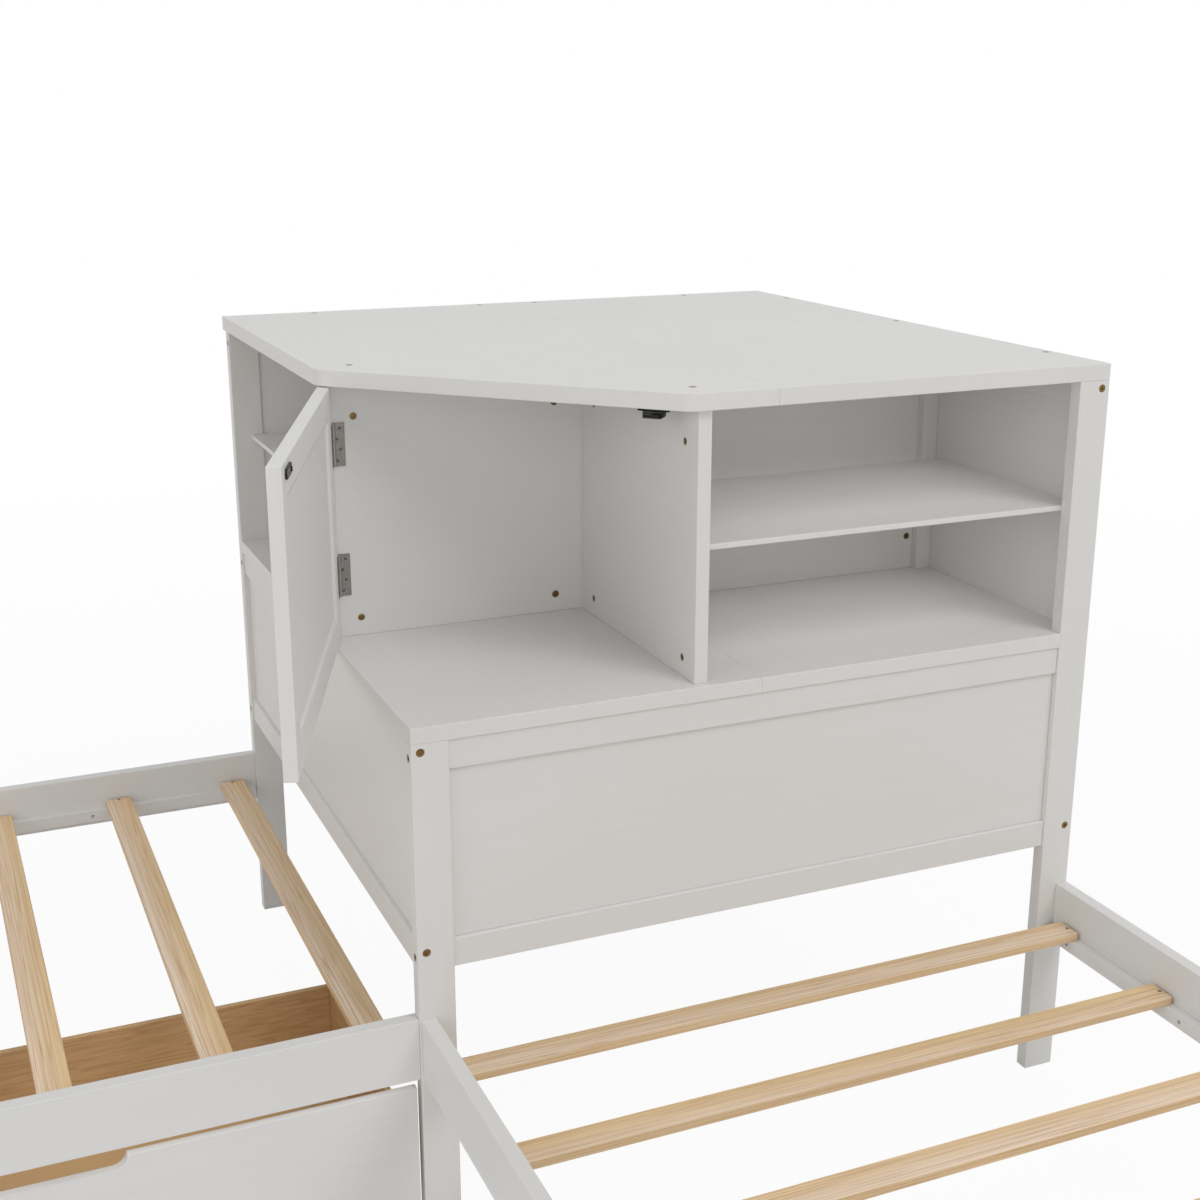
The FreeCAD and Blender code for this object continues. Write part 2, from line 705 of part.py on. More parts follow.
def build_drawer(index):
    """A drawer on casters; drawer 0 is the one beside the corner post."""
    name = ("near", "far")[index] + "_drawer_"
    right = "-drawer_gap - %d * (drawer_width + drawer_gap)" % index
    left = "%s - drawer_width" % right
    middle = "%s - drawer_width / 2" % right
    thickness = ("drawer_front_inset", "drawer_front_back")
    board(name + "front", (left, right), thickness, ("drawer_front_bottom", "drawer_front_top"))
    through = ("drawer_front_inset - overrun", "drawer_front_back + overrun")
    flat = "(scoop_width / 2 - scoop_corner_radius)"
    flat_x = ("%s - %s" % (middle, flat), "%s + %s" % (middle, flat))
    flat_z = ("drawer_front_top - scoop_depth", "drawer_front_top + overrun")
    scoop = [block(name + "scoop_flat", flat_x, through, flat_z)]
    scoop_length = "(%s) - (%s)" % (through[1], through[0])
    corner_z = "drawer_front_top - scoop_depth + scoop_corner_radius"
    for side, corner_x in zip(("left", "right"), flat_x):
        corner = (corner_x, through[0], corner_z)
        scoop.append(rod(name + "scoop_" + side, "scoop_corner_radius", scoop_length, *corner, "+Y"))
    drill(name + "front", fuse(name + "scoop", scoop))
    box_right = "%s - drawer_box_inset" % right
    box_left = "%s + drawer_box_inset" % left
    inside = ("%s + ply_thickness" % box_left, "%s - ply_thickness" % box_right)
    box_y = ("drawer_front_back", "drawer_box_back")
    box_z = ("drawer_box_bottom", "drawer_box_top")
    for side in ((box_left, inside[0]), (inside[1], box_right)):
        board(name + "sides", side, box_y, box_z, None, "ply_round")
    back_y = ("drawer_box_back - ply_thickness", "drawer_box_back")
    board(name + "back", inside, back_y, box_z, None, "ply_round")
    base_z = ("drawer_base_bottom", "drawer_base_bottom + drawer_base_thickness")
    board(name + "bottom", inside, (box_y[0], back_y[0]), base_z, None, "ply_round")
    rows = {"front": "drawer_front_back + caster_inset", "rear": "drawer_box_back - caster_inset"}
    for row, y in rows.items():
        for spot, x in enumerate(("%s + caster_inset" % box_left, "%s - caster_inset" % box_right)):
            build_caster(name, "%s_%d" % (row, spot), row, x, y)


def build_caster(drawer, tag, row, x, y):
    """A fixed caster: a plate under the drawer's base, two cheeks, an axle and a wheel."""
    stem = drawer + tag
    half = "fork_half_width"
    inner_half = "(fork_half_width - fork_thickness)"
    wide = ("%s - %s" % (x, half), "%s + %s" % (x, half))
    long = ("%s - fork_plate_length / 2" % y, "%s + fork_plate_length / 2" % y)
    plate = block(stem + "_plate", wide, long, ("drawer_base_bottom - fork_thickness", "drawer_base_bottom"))
    cheek_y = ("%s - fork_width / 2" % y, "%s + fork_width / 2" % y)
    cheek_z = ("axle_height - fork_drop", "drawer_base_bottom")
    near = block(stem + "_near", (wide[0], "%s - %s" % (x, inner_half)), cheek_y, cheek_z)
    far = block(stem + "_far", ("%s + %s" % (x, inner_half), wide[1]), cheek_y, cheek_z)
    axle = rod(stem + "_axle", "axle_radius", "2 * fork_half_width", wide[0], y, "axle_height", "+X")
    add(drawer + "caster_forks", fuse(stem + "_fork", [plate, near, far, axle]))
    wheel_left = "%s - wheel_width / 2" % x
    disc = rod(stem + "_disc", "wheel_radius", "wheel_width", wheel_left, y, "axle_height", "+X")
    tyre = rounded(disc, "wheel_edge_round", lambda edge: edge.isClosed())
    bore_left = "%s - overrun" % wheel_left
    bore_length = "wheel_width + 2 * overrun"
    bore = rod(stem + "_bore", "axle_radius + axle_clearance", bore_length, bore_left, y, "axle_height", "+X")
    add("%s%s_wheels" % (drawer, row), cut(stem + "_wheel", tyre, bore))


def bolt_frame():
    """Bolts through the posts into the ends of the cabinet's rails, two directions at each corner."""
    up = "rail_height / 2 + cross_bolt_rise"
    down = "rail_height / 2 - cross_bolt_drop"
    low = ["lower_rail_bottom", "deck_rail_bottom"]
    full = low + ["top_rail_bottom"]
    ends = ["lower_rail_bottom", "top_rail_bottom"]
    rows_y = [
        ("+Y", "near_rail_middle", "0", low, "front_corner_post", "left_rails"),
        ("+Y", "far_rail_middle", "0", ends, "front_right_post", "right_rails"),
        ("-Y", "near_rail_middle", "cabinet_width", low, "back_left_post", "left_rails"),
        ("-Y", "far_rail_middle", "cabinet_width", full, "back_right_post", "right_rails"),
    ]
    for axis, x, y, levels, post, rails in rows_y:
        for level in levels:
            bolt(axis, (x, y, "%s + %s" % (level, up)), "(post_thickness + bolt_bite)", [post, rails])
    rows_x = [
        ("+X", "0", "near_rail_middle", low, "front_corner_post", "front_rails"),
        ("-X", "cabinet_width", "near_rail_middle", low, "front_right_post", "front_rails"),
        ("+X", "0", "far_rail_middle", full, "back_left_post", "back_rails"),
        ("-X", "cabinet_width", "far_rail_middle", full, "back_right_post", "back_rails"),
    ]
    for axis, x, y, levels, post, rails in rows_x:
        for level in levels:
            bolt(axis, (x, y, "%s + %s" % (level, down)), "(post_width + bolt_bite)", [post, rails])


def bolt_walls():
    """Bolts that hold the top, the deck and the inner walls together, with nuts in the walls."""
    top_length = "(slab_top - upper_nut_height + nut_radius)"
    deck_length = "(lower_nut_height - deck_under + nut_radius)"
    wall_length = "(wall_thickness + nut_backset + nut_radius)"
    plain_length = "(slab_thickness + rail_height / 2)"
    near_wall = ("front_nut_inset", "cross_wall_middle")
    near_divider = ("divider_middle", "front_nut_inset")
    for level, post_top, axis, length in (
        ("upper_nut_height", "slab_top", "-Z", top_length),
        ("lower_nut_height", "deck_under", "+Z", deck_length),
    ):
        plank = "top_left_board" if axis == "-Z" else "deck_left_board"
        hole = bolt(axis, (*near_wall, post_top), length, [plank, "cross_wall"])
        barrel_nut("+Y", ("front_nut_inset", "compartment_depth", level), "cross_wall", hole)
        hole = bolt(axis, (*near_divider, post_top), length, [plank, "divider"])
        barrel_nut("+X", ("compartment_width", "front_nut_inset", level), "divider", hole)
        wall_point = ("divider_middle", "cross_wall_back", level)
        hole = bolt("-Y", wall_point, wall_length, ["cross_wall", "divider"])
        nut_point = ("compartment_width", "compartment_depth - nut_backset", level)
        barrel_nut("+X", nut_point, "divider", hole)
        bay_point = ("bay_wall_middle", "compartment_depth", level)
        bolt("+Y", bay_point, "(wall_thickness + bolt_bite)", ["cross_wall", "left_bay_wall"])
    for level in ("deck_top + batten_bolt_margin", "slab_under - batten_bolt_margin"):
        batten_point = ("batten_left - batten_bolt_inset", "compartment_depth", level)
        batten_length = "(wall_thickness + batten_flange_thickness / 2)"
        bolt("+Y", batten_point, batten_length, ["cross_wall", "corner_batten"])
    planks = {
        "back_bolt_left_margin": "top_left_board",
        "slab_seam - back_bolt_before_seam": "top_left_board",
        "slab_seam + back_bolt_after_seam": "top_right_board",
        "cabinet_width - back_bolt_right_margin": "top_right_board",
    }
    for row, plank in planks.items():
        bolt("-Z", (row, "far_rail_middle", "slab_top"), plain_length, [plank, "back_rails"])
    side_rows = [
        "side_bolt_front_margin",
        "cabinet_width * side_bolt_middle_share",
        "cabinet_width - side_bolt_back_margin",
    ]
    for row in side_rows:
        bolt("-Z", ("far_rail_middle", row, "slab_top"), plain_length, ["top_right_board", "right_rails"])


def bolt_beds():
    """Bolts at both ends of each side rail and of each foot rail."""
    length = "(post_thickness + bolt_bite)"
    posts = {
        "right": ("front_corner_post", "front_right_post"),
        "left": ("front_corner_post", "back_left_post"),
    }
    lines = ("inner_rail_middle", "outer_rail_middle")
    for side in ("right", "left"):
        rails = (side + "_bed_inner_rail", side + "_bed_outer_rail")
        legs = side + "_bed_foot_legs"
        for line, post, rail in zip(lines, posts[side], rails):
            if side == "right":
                bolt("-Y", (line, "post_thickness", "bed_rail_middle"), length, [post, rail])
                bolt("+Y", (line, "-bed_length", "bed_rail_middle"), length, [legs, rail])
            else:
                through_post = "(post_width + bolt_bite)"
                raised = "bed_rail_middle + bed_bolt_stagger"
                bolt("-X", ("post_width", line, raised), through_post, [post, rail])
                bolt("+X", ("-bed_length", line, "bed_rail_middle"), length, [legs, rail])
        foot_line = "rail_recess + rail_thickness / 2 - bed_length"
        foot_height = "bed_rail_middle - bed_bolt_stagger"
        foot_length = "(post_width + bolt_bite)"
        foot_rail = side + "_bed_foot_rail"
        if side == "right":
            bolt("+X", ("0", foot_line, foot_height), foot_length, [legs, foot_rail])
            bolt("-X", ("cabinet_width", foot_line, foot_height), foot_length, [legs, foot_rail])
        else:
            bolt("+Y", (foot_line, "0", foot_height), foot_length, [legs, foot_rail])
            bolt("-Y", (foot_line, "cabinet_width", foot_height), foot_length, [legs, foot_rail])


def finish(label):
    """Gather the solids of a sub-part, cut its holes and give it its label."""
    solids = pieces[label]
    result = solids[0] if len(solids) == 1 else bundle(label + "_set", solids)
    if label in holes:
        result = cut(label + "_cut", result, bundle(label + "_holes", holes[label]))
    result.Label = label
    return result


def check(results):
    """Stop if any object failed or any sub-part has no sound shape."""
    for item in doc.Objects:
        if "Invalid" in item.State or "Error" in item.State:
            raise RuntimeError("%s failed: %s" % (item.Name, item.State))
    for label, item in results.items():
        shape = item.Shape
        if shape.isNull() or not shape.isValid():
            raise RuntimeError("%s has no valid shape" % label)
        if len(shape.Solids) != len(pieces[label]):
            raise RuntimeError("%s has %d solids, not %d" % (label, len(shape.Solids), len(pieces[label])))


build_posts()
build_sides()
build_deck_and_top()
build_walls_and_shelves()
build_door()
build_hinges()
build_latch()
build_bed("right")
build_bed("left")
for drawer in range(DRAWER_COUNT):
    build_drawer(drawer)
bolt_frame()
bolt_walls()
bolt_beds()
nodes = {label: finish(label) for label in pieces}
doc.recompute()
check(nodes)

os.makedirs("parts", exist_ok=True)
for label, item in nodes.items():
    item.Shape.exportStep("parts/%s.step" % label)
print("%d sub-parts, %d solids" % (len(nodes), sum(len(item.Shape.Solids) for item in nodes.values())))
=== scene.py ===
import json
import math

import bmesh
import bpy
from mathutils import Matrix, Vector


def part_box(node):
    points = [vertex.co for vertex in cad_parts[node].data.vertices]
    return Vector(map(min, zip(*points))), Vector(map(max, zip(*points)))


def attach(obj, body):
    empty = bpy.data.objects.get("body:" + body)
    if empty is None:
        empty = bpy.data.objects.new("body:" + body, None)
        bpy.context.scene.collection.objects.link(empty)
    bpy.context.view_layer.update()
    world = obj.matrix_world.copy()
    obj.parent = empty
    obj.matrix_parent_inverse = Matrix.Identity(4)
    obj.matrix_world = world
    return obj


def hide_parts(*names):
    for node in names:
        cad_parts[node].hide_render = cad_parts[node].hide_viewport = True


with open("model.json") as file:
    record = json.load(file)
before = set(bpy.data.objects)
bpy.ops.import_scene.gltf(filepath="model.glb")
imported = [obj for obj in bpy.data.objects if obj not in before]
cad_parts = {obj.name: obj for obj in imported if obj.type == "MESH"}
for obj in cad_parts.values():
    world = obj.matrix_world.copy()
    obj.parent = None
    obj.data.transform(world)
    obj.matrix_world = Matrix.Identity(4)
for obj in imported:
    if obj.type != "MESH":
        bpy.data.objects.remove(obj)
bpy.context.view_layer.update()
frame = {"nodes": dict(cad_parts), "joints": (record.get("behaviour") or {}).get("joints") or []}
nodes = frame["nodes"]

# Places are in millimetres from the inner corner of the L, on the floor.
MM = 0.001
INNER_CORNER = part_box("front_corner_post")[0]

FACING = {
    "+X": Vector((1, 0, 0)),
    "-X": Vector((-1, 0, 0)),
    "+Y": Vector((0, 1, 0)),
    "-Y": Vector((0, -1, 0)),
    "+Z": Vector((0, 0, 1)),
    "-Z": Vector((0, 0, -1)),
}


def spot(x, y, z):
    """A point of the row frame, from millimetres laid off from the inner corner."""
    return INNER_CORNER + Vector((x, y, z)) * MM


def span(name):
    """The lowest and highest corners of a board, in millimetres from the inner corner."""
    low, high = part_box(name)
    return (low - INNER_CORNER) / MM, (high - INNER_CORNER) / MM


def middle_of(name):
    """The middle of a board, in millimetres from the inner corner."""
    low, high = span(name)
    return (low + high) / 2


# Cabinet boards that carry the fittings

POST_WIDTH = span("front_corner_post")[1].x
POST_THICKNESS = span("front_corner_post")[1].y
WIDTH = span("back_right_post")[1].x
NEAR_LINE = middle_of("front_rails").y
FAR_LINE = middle_of("back_rails").y
RAIL_FEET = {
    "low": span("front_rails")[0].z,
    "deck": span("front_panel")[1].z,
    "top": span("back_panels")[1].z,
}
DECK_UNDER = span("deck_left_board")[0].z
DECK_FACE = span("deck_left_board")[1].z
TOP_UNDER = span("top_left_board")[0].z
TOP_FACE = span("top_left_board")[1].z
TOP_SEAM = span("top_left_board")[1].x
WALL_FRONT = span("cross_wall")[0].y
WALL_BACK = span("cross_wall")[1].y
WALL_END = span("cross_wall")[1].x
WALL_LINE = middle_of("cross_wall").y
DIVIDER_FACE = span("divider")[0].x
DIVIDER_LINE = middle_of("divider").x
BAY_WALL_LINE = middle_of("left_bay_wall").x

# Beds: the right one runs towards -Y, the left one towards -X, with its slats a little higher

FOOT_END = span("left_bed_foot_legs")[0].x
FOOT_LINE = middle_of("left_bed_foot_rail").x
BED_RAIL_LEVEL = middle_of("right_bed_inner_rail").z
BED_RAIL_LINES = (middle_of("right_bed_inner_rail").x, middle_of("right_bed_outer_rail").x)
BED_RAIL_FACES = (span("right_bed_inner_rail")[1].x, span("right_bed_outer_rail")[0].x)
RIGHT_SLATS = span("right_bed_slats")
LEFT_SLATS = span("left_bed_slats")
SLAT_COUNT = 10
SLAT_WIDTH = 44.5
FIRST_SLAT = -RIGHT_SLATS[1].y
SLAT_PITCH = (RIGHT_SLATS[1].y - RIGHT_SLATS[0].y - SLAT_WIDTH) / (SLAT_COUNT - 1)

# Door: angles about the hinge axis, from the wall that carries it

DOOR_JOINT = next(joint for joint in frame["joints"] if joint["name"] == "door_hinge")
HINGE_AXIS = Vector((middle_of("hinge_pins").x, middle_of("hinge_pins").y, 0))
OPEN_ANGLE = -109.9
CLOSED_ANGLE = OPEN_ANGLE + DOOR_JOINT["range_deg"][1]
LEAF_THICKNESS = 2.0
DOOR_FACE = -LEAF_THICKNESS / 2


# Shader building

COLOUR = "NodeSocketColor"
VALUE = "NodeSocketFloat"
VECTOR = "NodeSocketVector"


def add(tree, kind, values=None, **settings):
    """A node with its settings made and its inputs set, or linked where a socket is given."""
    item = tree.nodes.new(kind)
    for key, value in settings.items():
        setattr(item, key, value)
    for key, value in (values or {}).items():
        if isinstance(value, bpy.types.NodeSocket):
            tree.links.new(value, item.inputs[key])
        else:
            item.inputs[key].default_value = value
    return item


def ramp(tree, factor, stops):
    """A colour ramp; each stop is a position and a grey level or a colour."""
    item = add(tree, "ShaderNodeValToRGB", {"Fac": factor})
    points = item.color_ramp.elements
    while len(points) < len(stops):
        points.new(1.0)
    for point, (position, tone) in zip(points, stops):
        point.position = position
        point.color = (*tone, 1) if isinstance(tone, tuple) else (tone, tone, tone, 1)
    return item.outputs["Color"]


def mix(tree, factor, first, second, blend="MIX"):
    """Two colours mixed; the node numbers its colour sockets 6, 7 and 2."""
    values = {0: factor, 6: first, 7: second}
    return add(tree, "ShaderNodeMix", values, data_type="RGBA", blend_type=blend).outputs[2]


def maths(tree, operation, *values):
    return add(tree, "ShaderNodeMath", dict(enumerate(values)), operation=operation).outputs[0]


def vectors(tree, operation, first, second, result="Vector"):
    values = {0: first, 1: second}
    return add(tree, "ShaderNodeVectorMath", values, operation=operation).outputs[result]


def noise(tree, place, scale, detail, roughness=0.5):
    values = {"Vector": place, "Scale": scale, "Detail": detail, "Roughness": roughness}
    return add(tree, "ShaderNodeTexNoise", values).outputs["Fac"]


def stretched(tree, value, start, end, low=0.0, high=1.0):
    """A value moved from one range to another, and held at its ends."""
    values = {"Value": value, "From Min": start, "From Max": end, "To Min": low, "To Max": high}
    return add(tree, "ShaderNodeMapRange", values).outputs[0]


def lifted(tree, value, least, rise):
    """The least value, and up to rise more where the value is one."""
    return maths(tree, "MULTIPLY_ADD", value, rise, least)


def weighted(tree, first, first_weight, second, second_weight):
    """Two values added up, each times its weight."""
    return lifted(tree, first, maths(tree, "MULTIPLY", second, second_weight), first_weight)


def new_group(name, inputs):
    """An effect with the inputs named, which gives a colour, a roughness and a height."""
    group = bpy.data.node_groups.new(name, "ShaderNodeTree")
    for label, kind in inputs.items():
        group.interface.new_socket(label, in_out="INPUT", socket_type=kind)
    for label, kind in {"Colour": COLOUR, "Roughness": VALUE, "Height": VALUE}.items():
        group.interface.new_socket(label, in_out="OUTPUT", socket_type=kind)
    return group, group.nodes.new("NodeGroupInput").outputs


def send(group, colour, roughness, height):
    add(group, "NodeGroupOutput", {"Colour": colour, "Roughness": roughness, "Height": height})


def make_paint_film():
    """Sprayed satin paint over wood: cloudy tone, faint grain showing through, fine orange peel."""
    inputs = {"Place": VECTOR, "Stretch": VECTOR, "Thin": COLOUR, "Full": COLOUR}
    group, given = new_group("paint_film", inputs)
    laid = vectors(group, "MULTIPLY", given["Place"], given["Stretch"])
    cloud = noise(group, given["Place"], scale=2.6, detail=3.0)
    grain = noise(group, laid, scale=1.0, detail=4.0, roughness=0.6)
    peel = noise(group, given["Place"], scale=520.0, detail=2.0)
    dust = noise(group, given["Place"], scale=46.0, detail=5.0)
    cover = ramp(group, weighted(group, cloud, 0.6, grain, 0.4), [(0.3, 0.0), (0.7, 1.0)])
    colour = mix(group, cover, given["Thin"], given["Full"])
    rough = lifted(group, dust, least=0.40, rise=0.16)
    send(group, colour, rough, weighted(group, peel, 0.35, grain, 0.65))
    return group


def make_sawn_grain():
    """Straight sawn softwood: growth rings as long streaks, fine fibres, and a tone for each board."""
    inputs = {
        "Place": VECTOR, "Stretch": VECTOR, "Board": VALUE, "Drift": VALUE,
        "Early": COLOUR, "Late": COLOUR, "Pale": COLOUR,
    }
    group, given = new_group("sawn_grain", inputs)
    own = add(group, "ShaderNodeTexWhiteNoise", {"W": given["Board"]}, noise_dimensions="1D").outputs
    log_reach = (3.1, 3.1, 0.7)
    shifted = vectors(group, "ADD", given["Place"], vectors(group, "MULTIPLY", own["Color"], log_reach))
    flow = vectors(group, "MULTIPLY", shifted, given["Stretch"])
    rings = noise(group, flow, scale=0.5, detail=1.3)
    fibre = noise(group, flow, scale=2.6, detail=3.0)
    flame = noise(group, flow, scale=0.08, detail=2.0)
    cloud = stretched(group, flame, start=0.35, end=0.65, low=-0.2, high=0.2)
    lean = add(group, "ShaderNodeMath", {0: given["Drift"], 1: cloud}, operation="ADD", use_clamp=True)
    colour = mix(group, lean.outputs[0], given["Early"], given["Pale"])
    lines = [
        (0.36, 0.0), (0.41, 0.75), (0.44, 0.0), (0.52, 0.08),
        (0.56, 0.85), (0.585, 0.0), (0.65, 0.7), (0.68, 0.0),
    ]
    colour = mix(group, ramp(group, rings, lines), colour, given["Late"])
    streak = ramp(group, fibre, [(0.3, 0.94), (0.7, 1.05)])
    colour = mix(group, 1.0, colour, streak, "MULTIPLY")
    tone = stretched(group, own["Value"], start=0.0, end=1.0, low=0.965, high=1.035)
    tint = add(group, "ShaderNodeCombineColor", {0: tone, 1: tone, 2: tone})
    colour = mix(group, 1.0, colour, tint.outputs[0], "MULTIPLY")
    rough = lifted(group, rings, least=0.42, rise=0.22)
    send(group, colour, rough, weighted(group, fibre, 0.6, rings, 0.4))
    return group


def make_handled_metal():
    """Plated or rolled metal: cloudy tarnish, fine scratches and duller patches."""
    inputs = {"Place": VECTOR, "Bright": COLOUR, "Dull": COLOUR, "Polish": VALUE}
    group, given = new_group("handled_metal", inputs)
    cloud = noise(group, given["Place"], scale=240.0, detail=4.0)
    grit = noise(group, given["Place"], scale=1800.0, detail=2.0)
    tarnish = ramp(group, cloud, [(0.35, 0.0), (0.65, 1.0)])
    colour = mix(group, tarnish, given["Bright"], given["Dull"])
    send(group, colour, lifted(group, cloud, least=given["Polish"], rise=0.2), grit)
    return group


PAINT_FILM = make_paint_film()
SAWN_GRAIN = make_sawn_grain()
HANDLED_METAL = make_handled_metal()


def new_finish(name):
    """An empty material with its shader, and the place on the piece."""
    finish = bpy.data.materials.new(name)
    finish.use_nodes = True
    tree = finish.node_tree
    shader = tree.nodes["Principled BSDF"]
    place = tree.nodes.new("ShaderNodeTexCoord").outputs["Object"]
    return finish, tree, shader, place


def use(tree, group, values):
    return add(tree, "ShaderNodeGroup", values, node_tree=group)


def dress(tree, shader, look, strength, depth):
    """Join an effect's colour, roughness and height to the shader."""
    tree.links.new(look.outputs["Colour"], shader.inputs["Base Color"])
    tree.links.new(look.outputs["Roughness"], shader.inputs["Roughness"])
    relief = {"Height": look.outputs["Height"], "Strength": strength, "Distance": depth * MM}
    bump = add(tree, "ShaderNodeBump", relief)
    tree.links.new(bump.outputs["Normal"], shader.inputs["Normal"])


def upward(tree):
    """How far the surface faces up: one on level tops, zero on upright sides."""
    normal = tree.nodes.new("ShaderNodeNewGeometry").outputs["Normal"]
    return add(tree, "ShaderNodeSeparateXYZ", {0: normal}).outputs["Z"]


def drawn_out(axis, along, across):
    """How dense a pattern is in each direction: sparse along the grain, dense across it."""
    return tuple(along if letter == axis else across for letter in "XYZ")


def painted(axis):
    finish, tree, shader, place = new_finish("paint_along_" + axis.lower())
    film = use(tree, PAINT_FILM, {
        "Place": place,
        "Stretch": drawn_out(axis, along=3.0, across=120.0),
        "Thin": (0.768, 0.759, 0.742, 1),
        "Full": (0.804, 0.797, 0.783, 1),
    })
    dress(tree, shader, film, strength=0.035, depth=0.6)
    shader.inputs["Specular IOR Level"].default_value = 0.42
    return finish


def pine(axis, away):
    """Clear-coated slats, golden on the cabinet's side, with painted shade: a browner colour on their sides
    and rounded edges.

    Axis is the direction of the grain, and away the direction from slat to slat.
    """
    finish, tree, shader, place = new_finish("pine_along_" + axis.lower())
    parts = add(tree, "ShaderNodeSeparateXYZ", {0: place}).outputs
    start = INNER_CORNER["XYZ".index(away)]
    count = maths(tree, "DIVIDE", maths(tree, "SUBTRACT", start, parts[away]), SLAT_PITCH * MM)
    near_edge = FIRST_SLAT / SLAT_PITCH
    far_edge = (FIRST_SLAT + SLAT_WIDTH) / SLAT_PITCH
    level_top = 0.97
    rounded_off = 0.75
    # Painted shade: faces tilted from level, the slats' sides and rounded edges, get a darker, browner
    # colour
    side = stretched(tree, upward(tree), level_top, rounded_off)
    side_shade_colour = (0.770, 0.560, 0.340, 1)
    grain = use(tree, SAWN_GRAIN, {
        "Place": place,
        "Stretch": drawn_out(axis, along=3.0, across=420.0),
        "Board": maths(tree, "FLOOR", count),
        "Drift": stretched(tree, maths(tree, "FRACT", count), near_edge, far_edge),
        "Early": mix(tree, side, (0.860, 0.620, 0.350, 1), side_shade_colour),
        "Late": (0.600, 0.375, 0.175, 1),
        "Pale": mix(tree, side, (0.950, 0.775, 0.610, 1), side_shade_colour),
    })
    dress(tree, shader, grain, strength=0.14, depth=0.6)
    shader.inputs["Specular IOR Level"].default_value = 0.35
    return finish


def plywood(axis, thickness_axis):
    """Brown veneered plywood, with the layers showing on the upper edges."""
    finish, tree, shader, place = new_finish("ply_along_" + axis.lower())
    grain = use(tree, SAWN_GRAIN, {
        "Place": place,
        "Stretch": drawn_out(axis, along=9.0, across=160.0),
        "Board": 4.0,
        "Drift": 0.4,
        "Early": (0.545, 0.350, 0.178, 1),
        "Late": (0.430, 0.255, 0.118, 1),
        "Pale": (0.610, 0.410, 0.222, 1),
    })
    parts = add(tree, "ShaderNodeSeparateXYZ", {0: place}).outputs
    layer_rate = 2100.0
    wave = maths(tree, "SINE", maths(tree, "MULTIPLY", parts[thickness_axis], layer_rate))
    layers = [(0.2, (0.74, 0.54, 0.30)), (0.5, (0.56, 0.36, 0.17))]
    bands = ramp(tree, lifted(tree, wave, least=0.5, rise=0.5), layers)
    level = 0.8
    edge = maths(tree, "GREATER_THAN", upward(tree), level)
    dress(tree, shader, grain, strength=0.2, depth=0.8)
    tree.links.new(mix(tree, edge, grain.outputs["Colour"], bands), shader.inputs["Base Color"])
    shader.inputs["Specular IOR Level"].default_value = 0.3
    return finish


def metal(name, bright, dull, polish):
    finish, tree, shader, place = new_finish(name)
    look = use(tree, HANDLED_METAL, {"Place": place, "Bright": bright, "Dull": dull, "Polish": polish})
    dress(tree, shader, look, strength=0.12, depth=0.2)
    shader.inputs["Metallic"].default_value = 1.0
    return finish


def hinge_steel(name):
    """Rolled steel, with a painted highlight round the hinge axis: the knuckles get a lighter colour."""
    finish, tree, shader, place = new_finish(name)
    level = Vector((1, 1, 0))
    flat = vectors(tree, "MULTIPLY", place, level)
    reach = vectors(tree, "DISTANCE", flat, spot(*HINGE_AXIS) * level, "Value")
    # Painted highlight: within these reaches of the hinge axis the knuckles take the lighter colours below
    highlight_fades_out_at = 3.3
    highlight_full_within = 3.1
    knuckle_highlight = stretched(tree, reach, highlight_fades_out_at * MM, highlight_full_within * MM)
    look = use(tree, HANDLED_METAL, {
        "Place": place,
        "Bright": mix(tree, knuckle_highlight, (0.278, 0.262, 0.248, 1), (0.380, 0.362, 0.348, 1)),
        "Dull": mix(tree, knuckle_highlight, (0.246, 0.231, 0.218, 1), (0.340, 0.324, 0.310, 1)),
        "Polish": 0.46,
    })
    dress(tree, shader, look, strength=0.06, depth=0.2)
    shader.inputs["Metallic"].default_value = 1.0
    return finish


def moulded(name, tone, polish, shine=0.5):
    """Black or grey moulded plastic with a fine spark-eroded skin."""
    finish, tree, shader, place = new_finish(name)
    wear = 1.35
    worn = tuple(value * wear for value in tone)
    look = use(tree, HANDLED_METAL, {
        "Place": place,
        "Bright": (*tone, 1),
        "Dull": (*worn, 1),
        "Polish": polish,
    })
    dress(tree, shader, look, strength=0.2, depth=0.2)
    shader.inputs["Specular IOR Level"].default_value = shine
    return finish


PAINT = {axis: painted(axis) for axis in "XYZ"}
PINE_ACROSS = pine("X", "Y")
PINE_AWAY = pine("Y", "X")
PLY_ALONG_X = plywood("X", "Y")
PLY_ALONG_Y = plywood("Y", "X")
BRONZE = metal("bronze_plating", (0.270, 0.176, 0.066, 1), (0.170, 0.106, 0.040, 1), polish=0.30)
HINGE_STEEL = hinge_steel("rolled_steel")
SCREW_STEEL = metal("dark_screw_steel", (0.120, 0.110, 0.100, 1), (0.060, 0.054, 0.048, 1), polish=0.34)
BLACK_STEEL = metal("blackened_screw_steel", (0.030, 0.027, 0.024, 1), (0.016, 0.014, 0.012, 1), polish=0.50)
BLACK_PLASTIC = moulded("black_plastic", (0.011, 0.011, 0.011), polish=0.34, shine=0.22)
# Lighter grey plastic for the latch's ribs, a painted highlight on the case's front
HIGHLIGHT_GREY_PLASTIC = moulded("highlight_grey_plastic", (0.085, 0.085, 0.084), polish=0.30)
WHEEL_PLASTIC = moulded("wheel_plastic", (0.022, 0.022, 0.023), polish=0.42)

UPRIGHT = (
    "front_corner_post", "front_right_post", "back_left_post", "back_right_post", "corner_batten",
    "right_bed_foot_legs", "left_bed_foot_legs", "door_hinge_stile", "door_latch_stile", "door_panel",
)


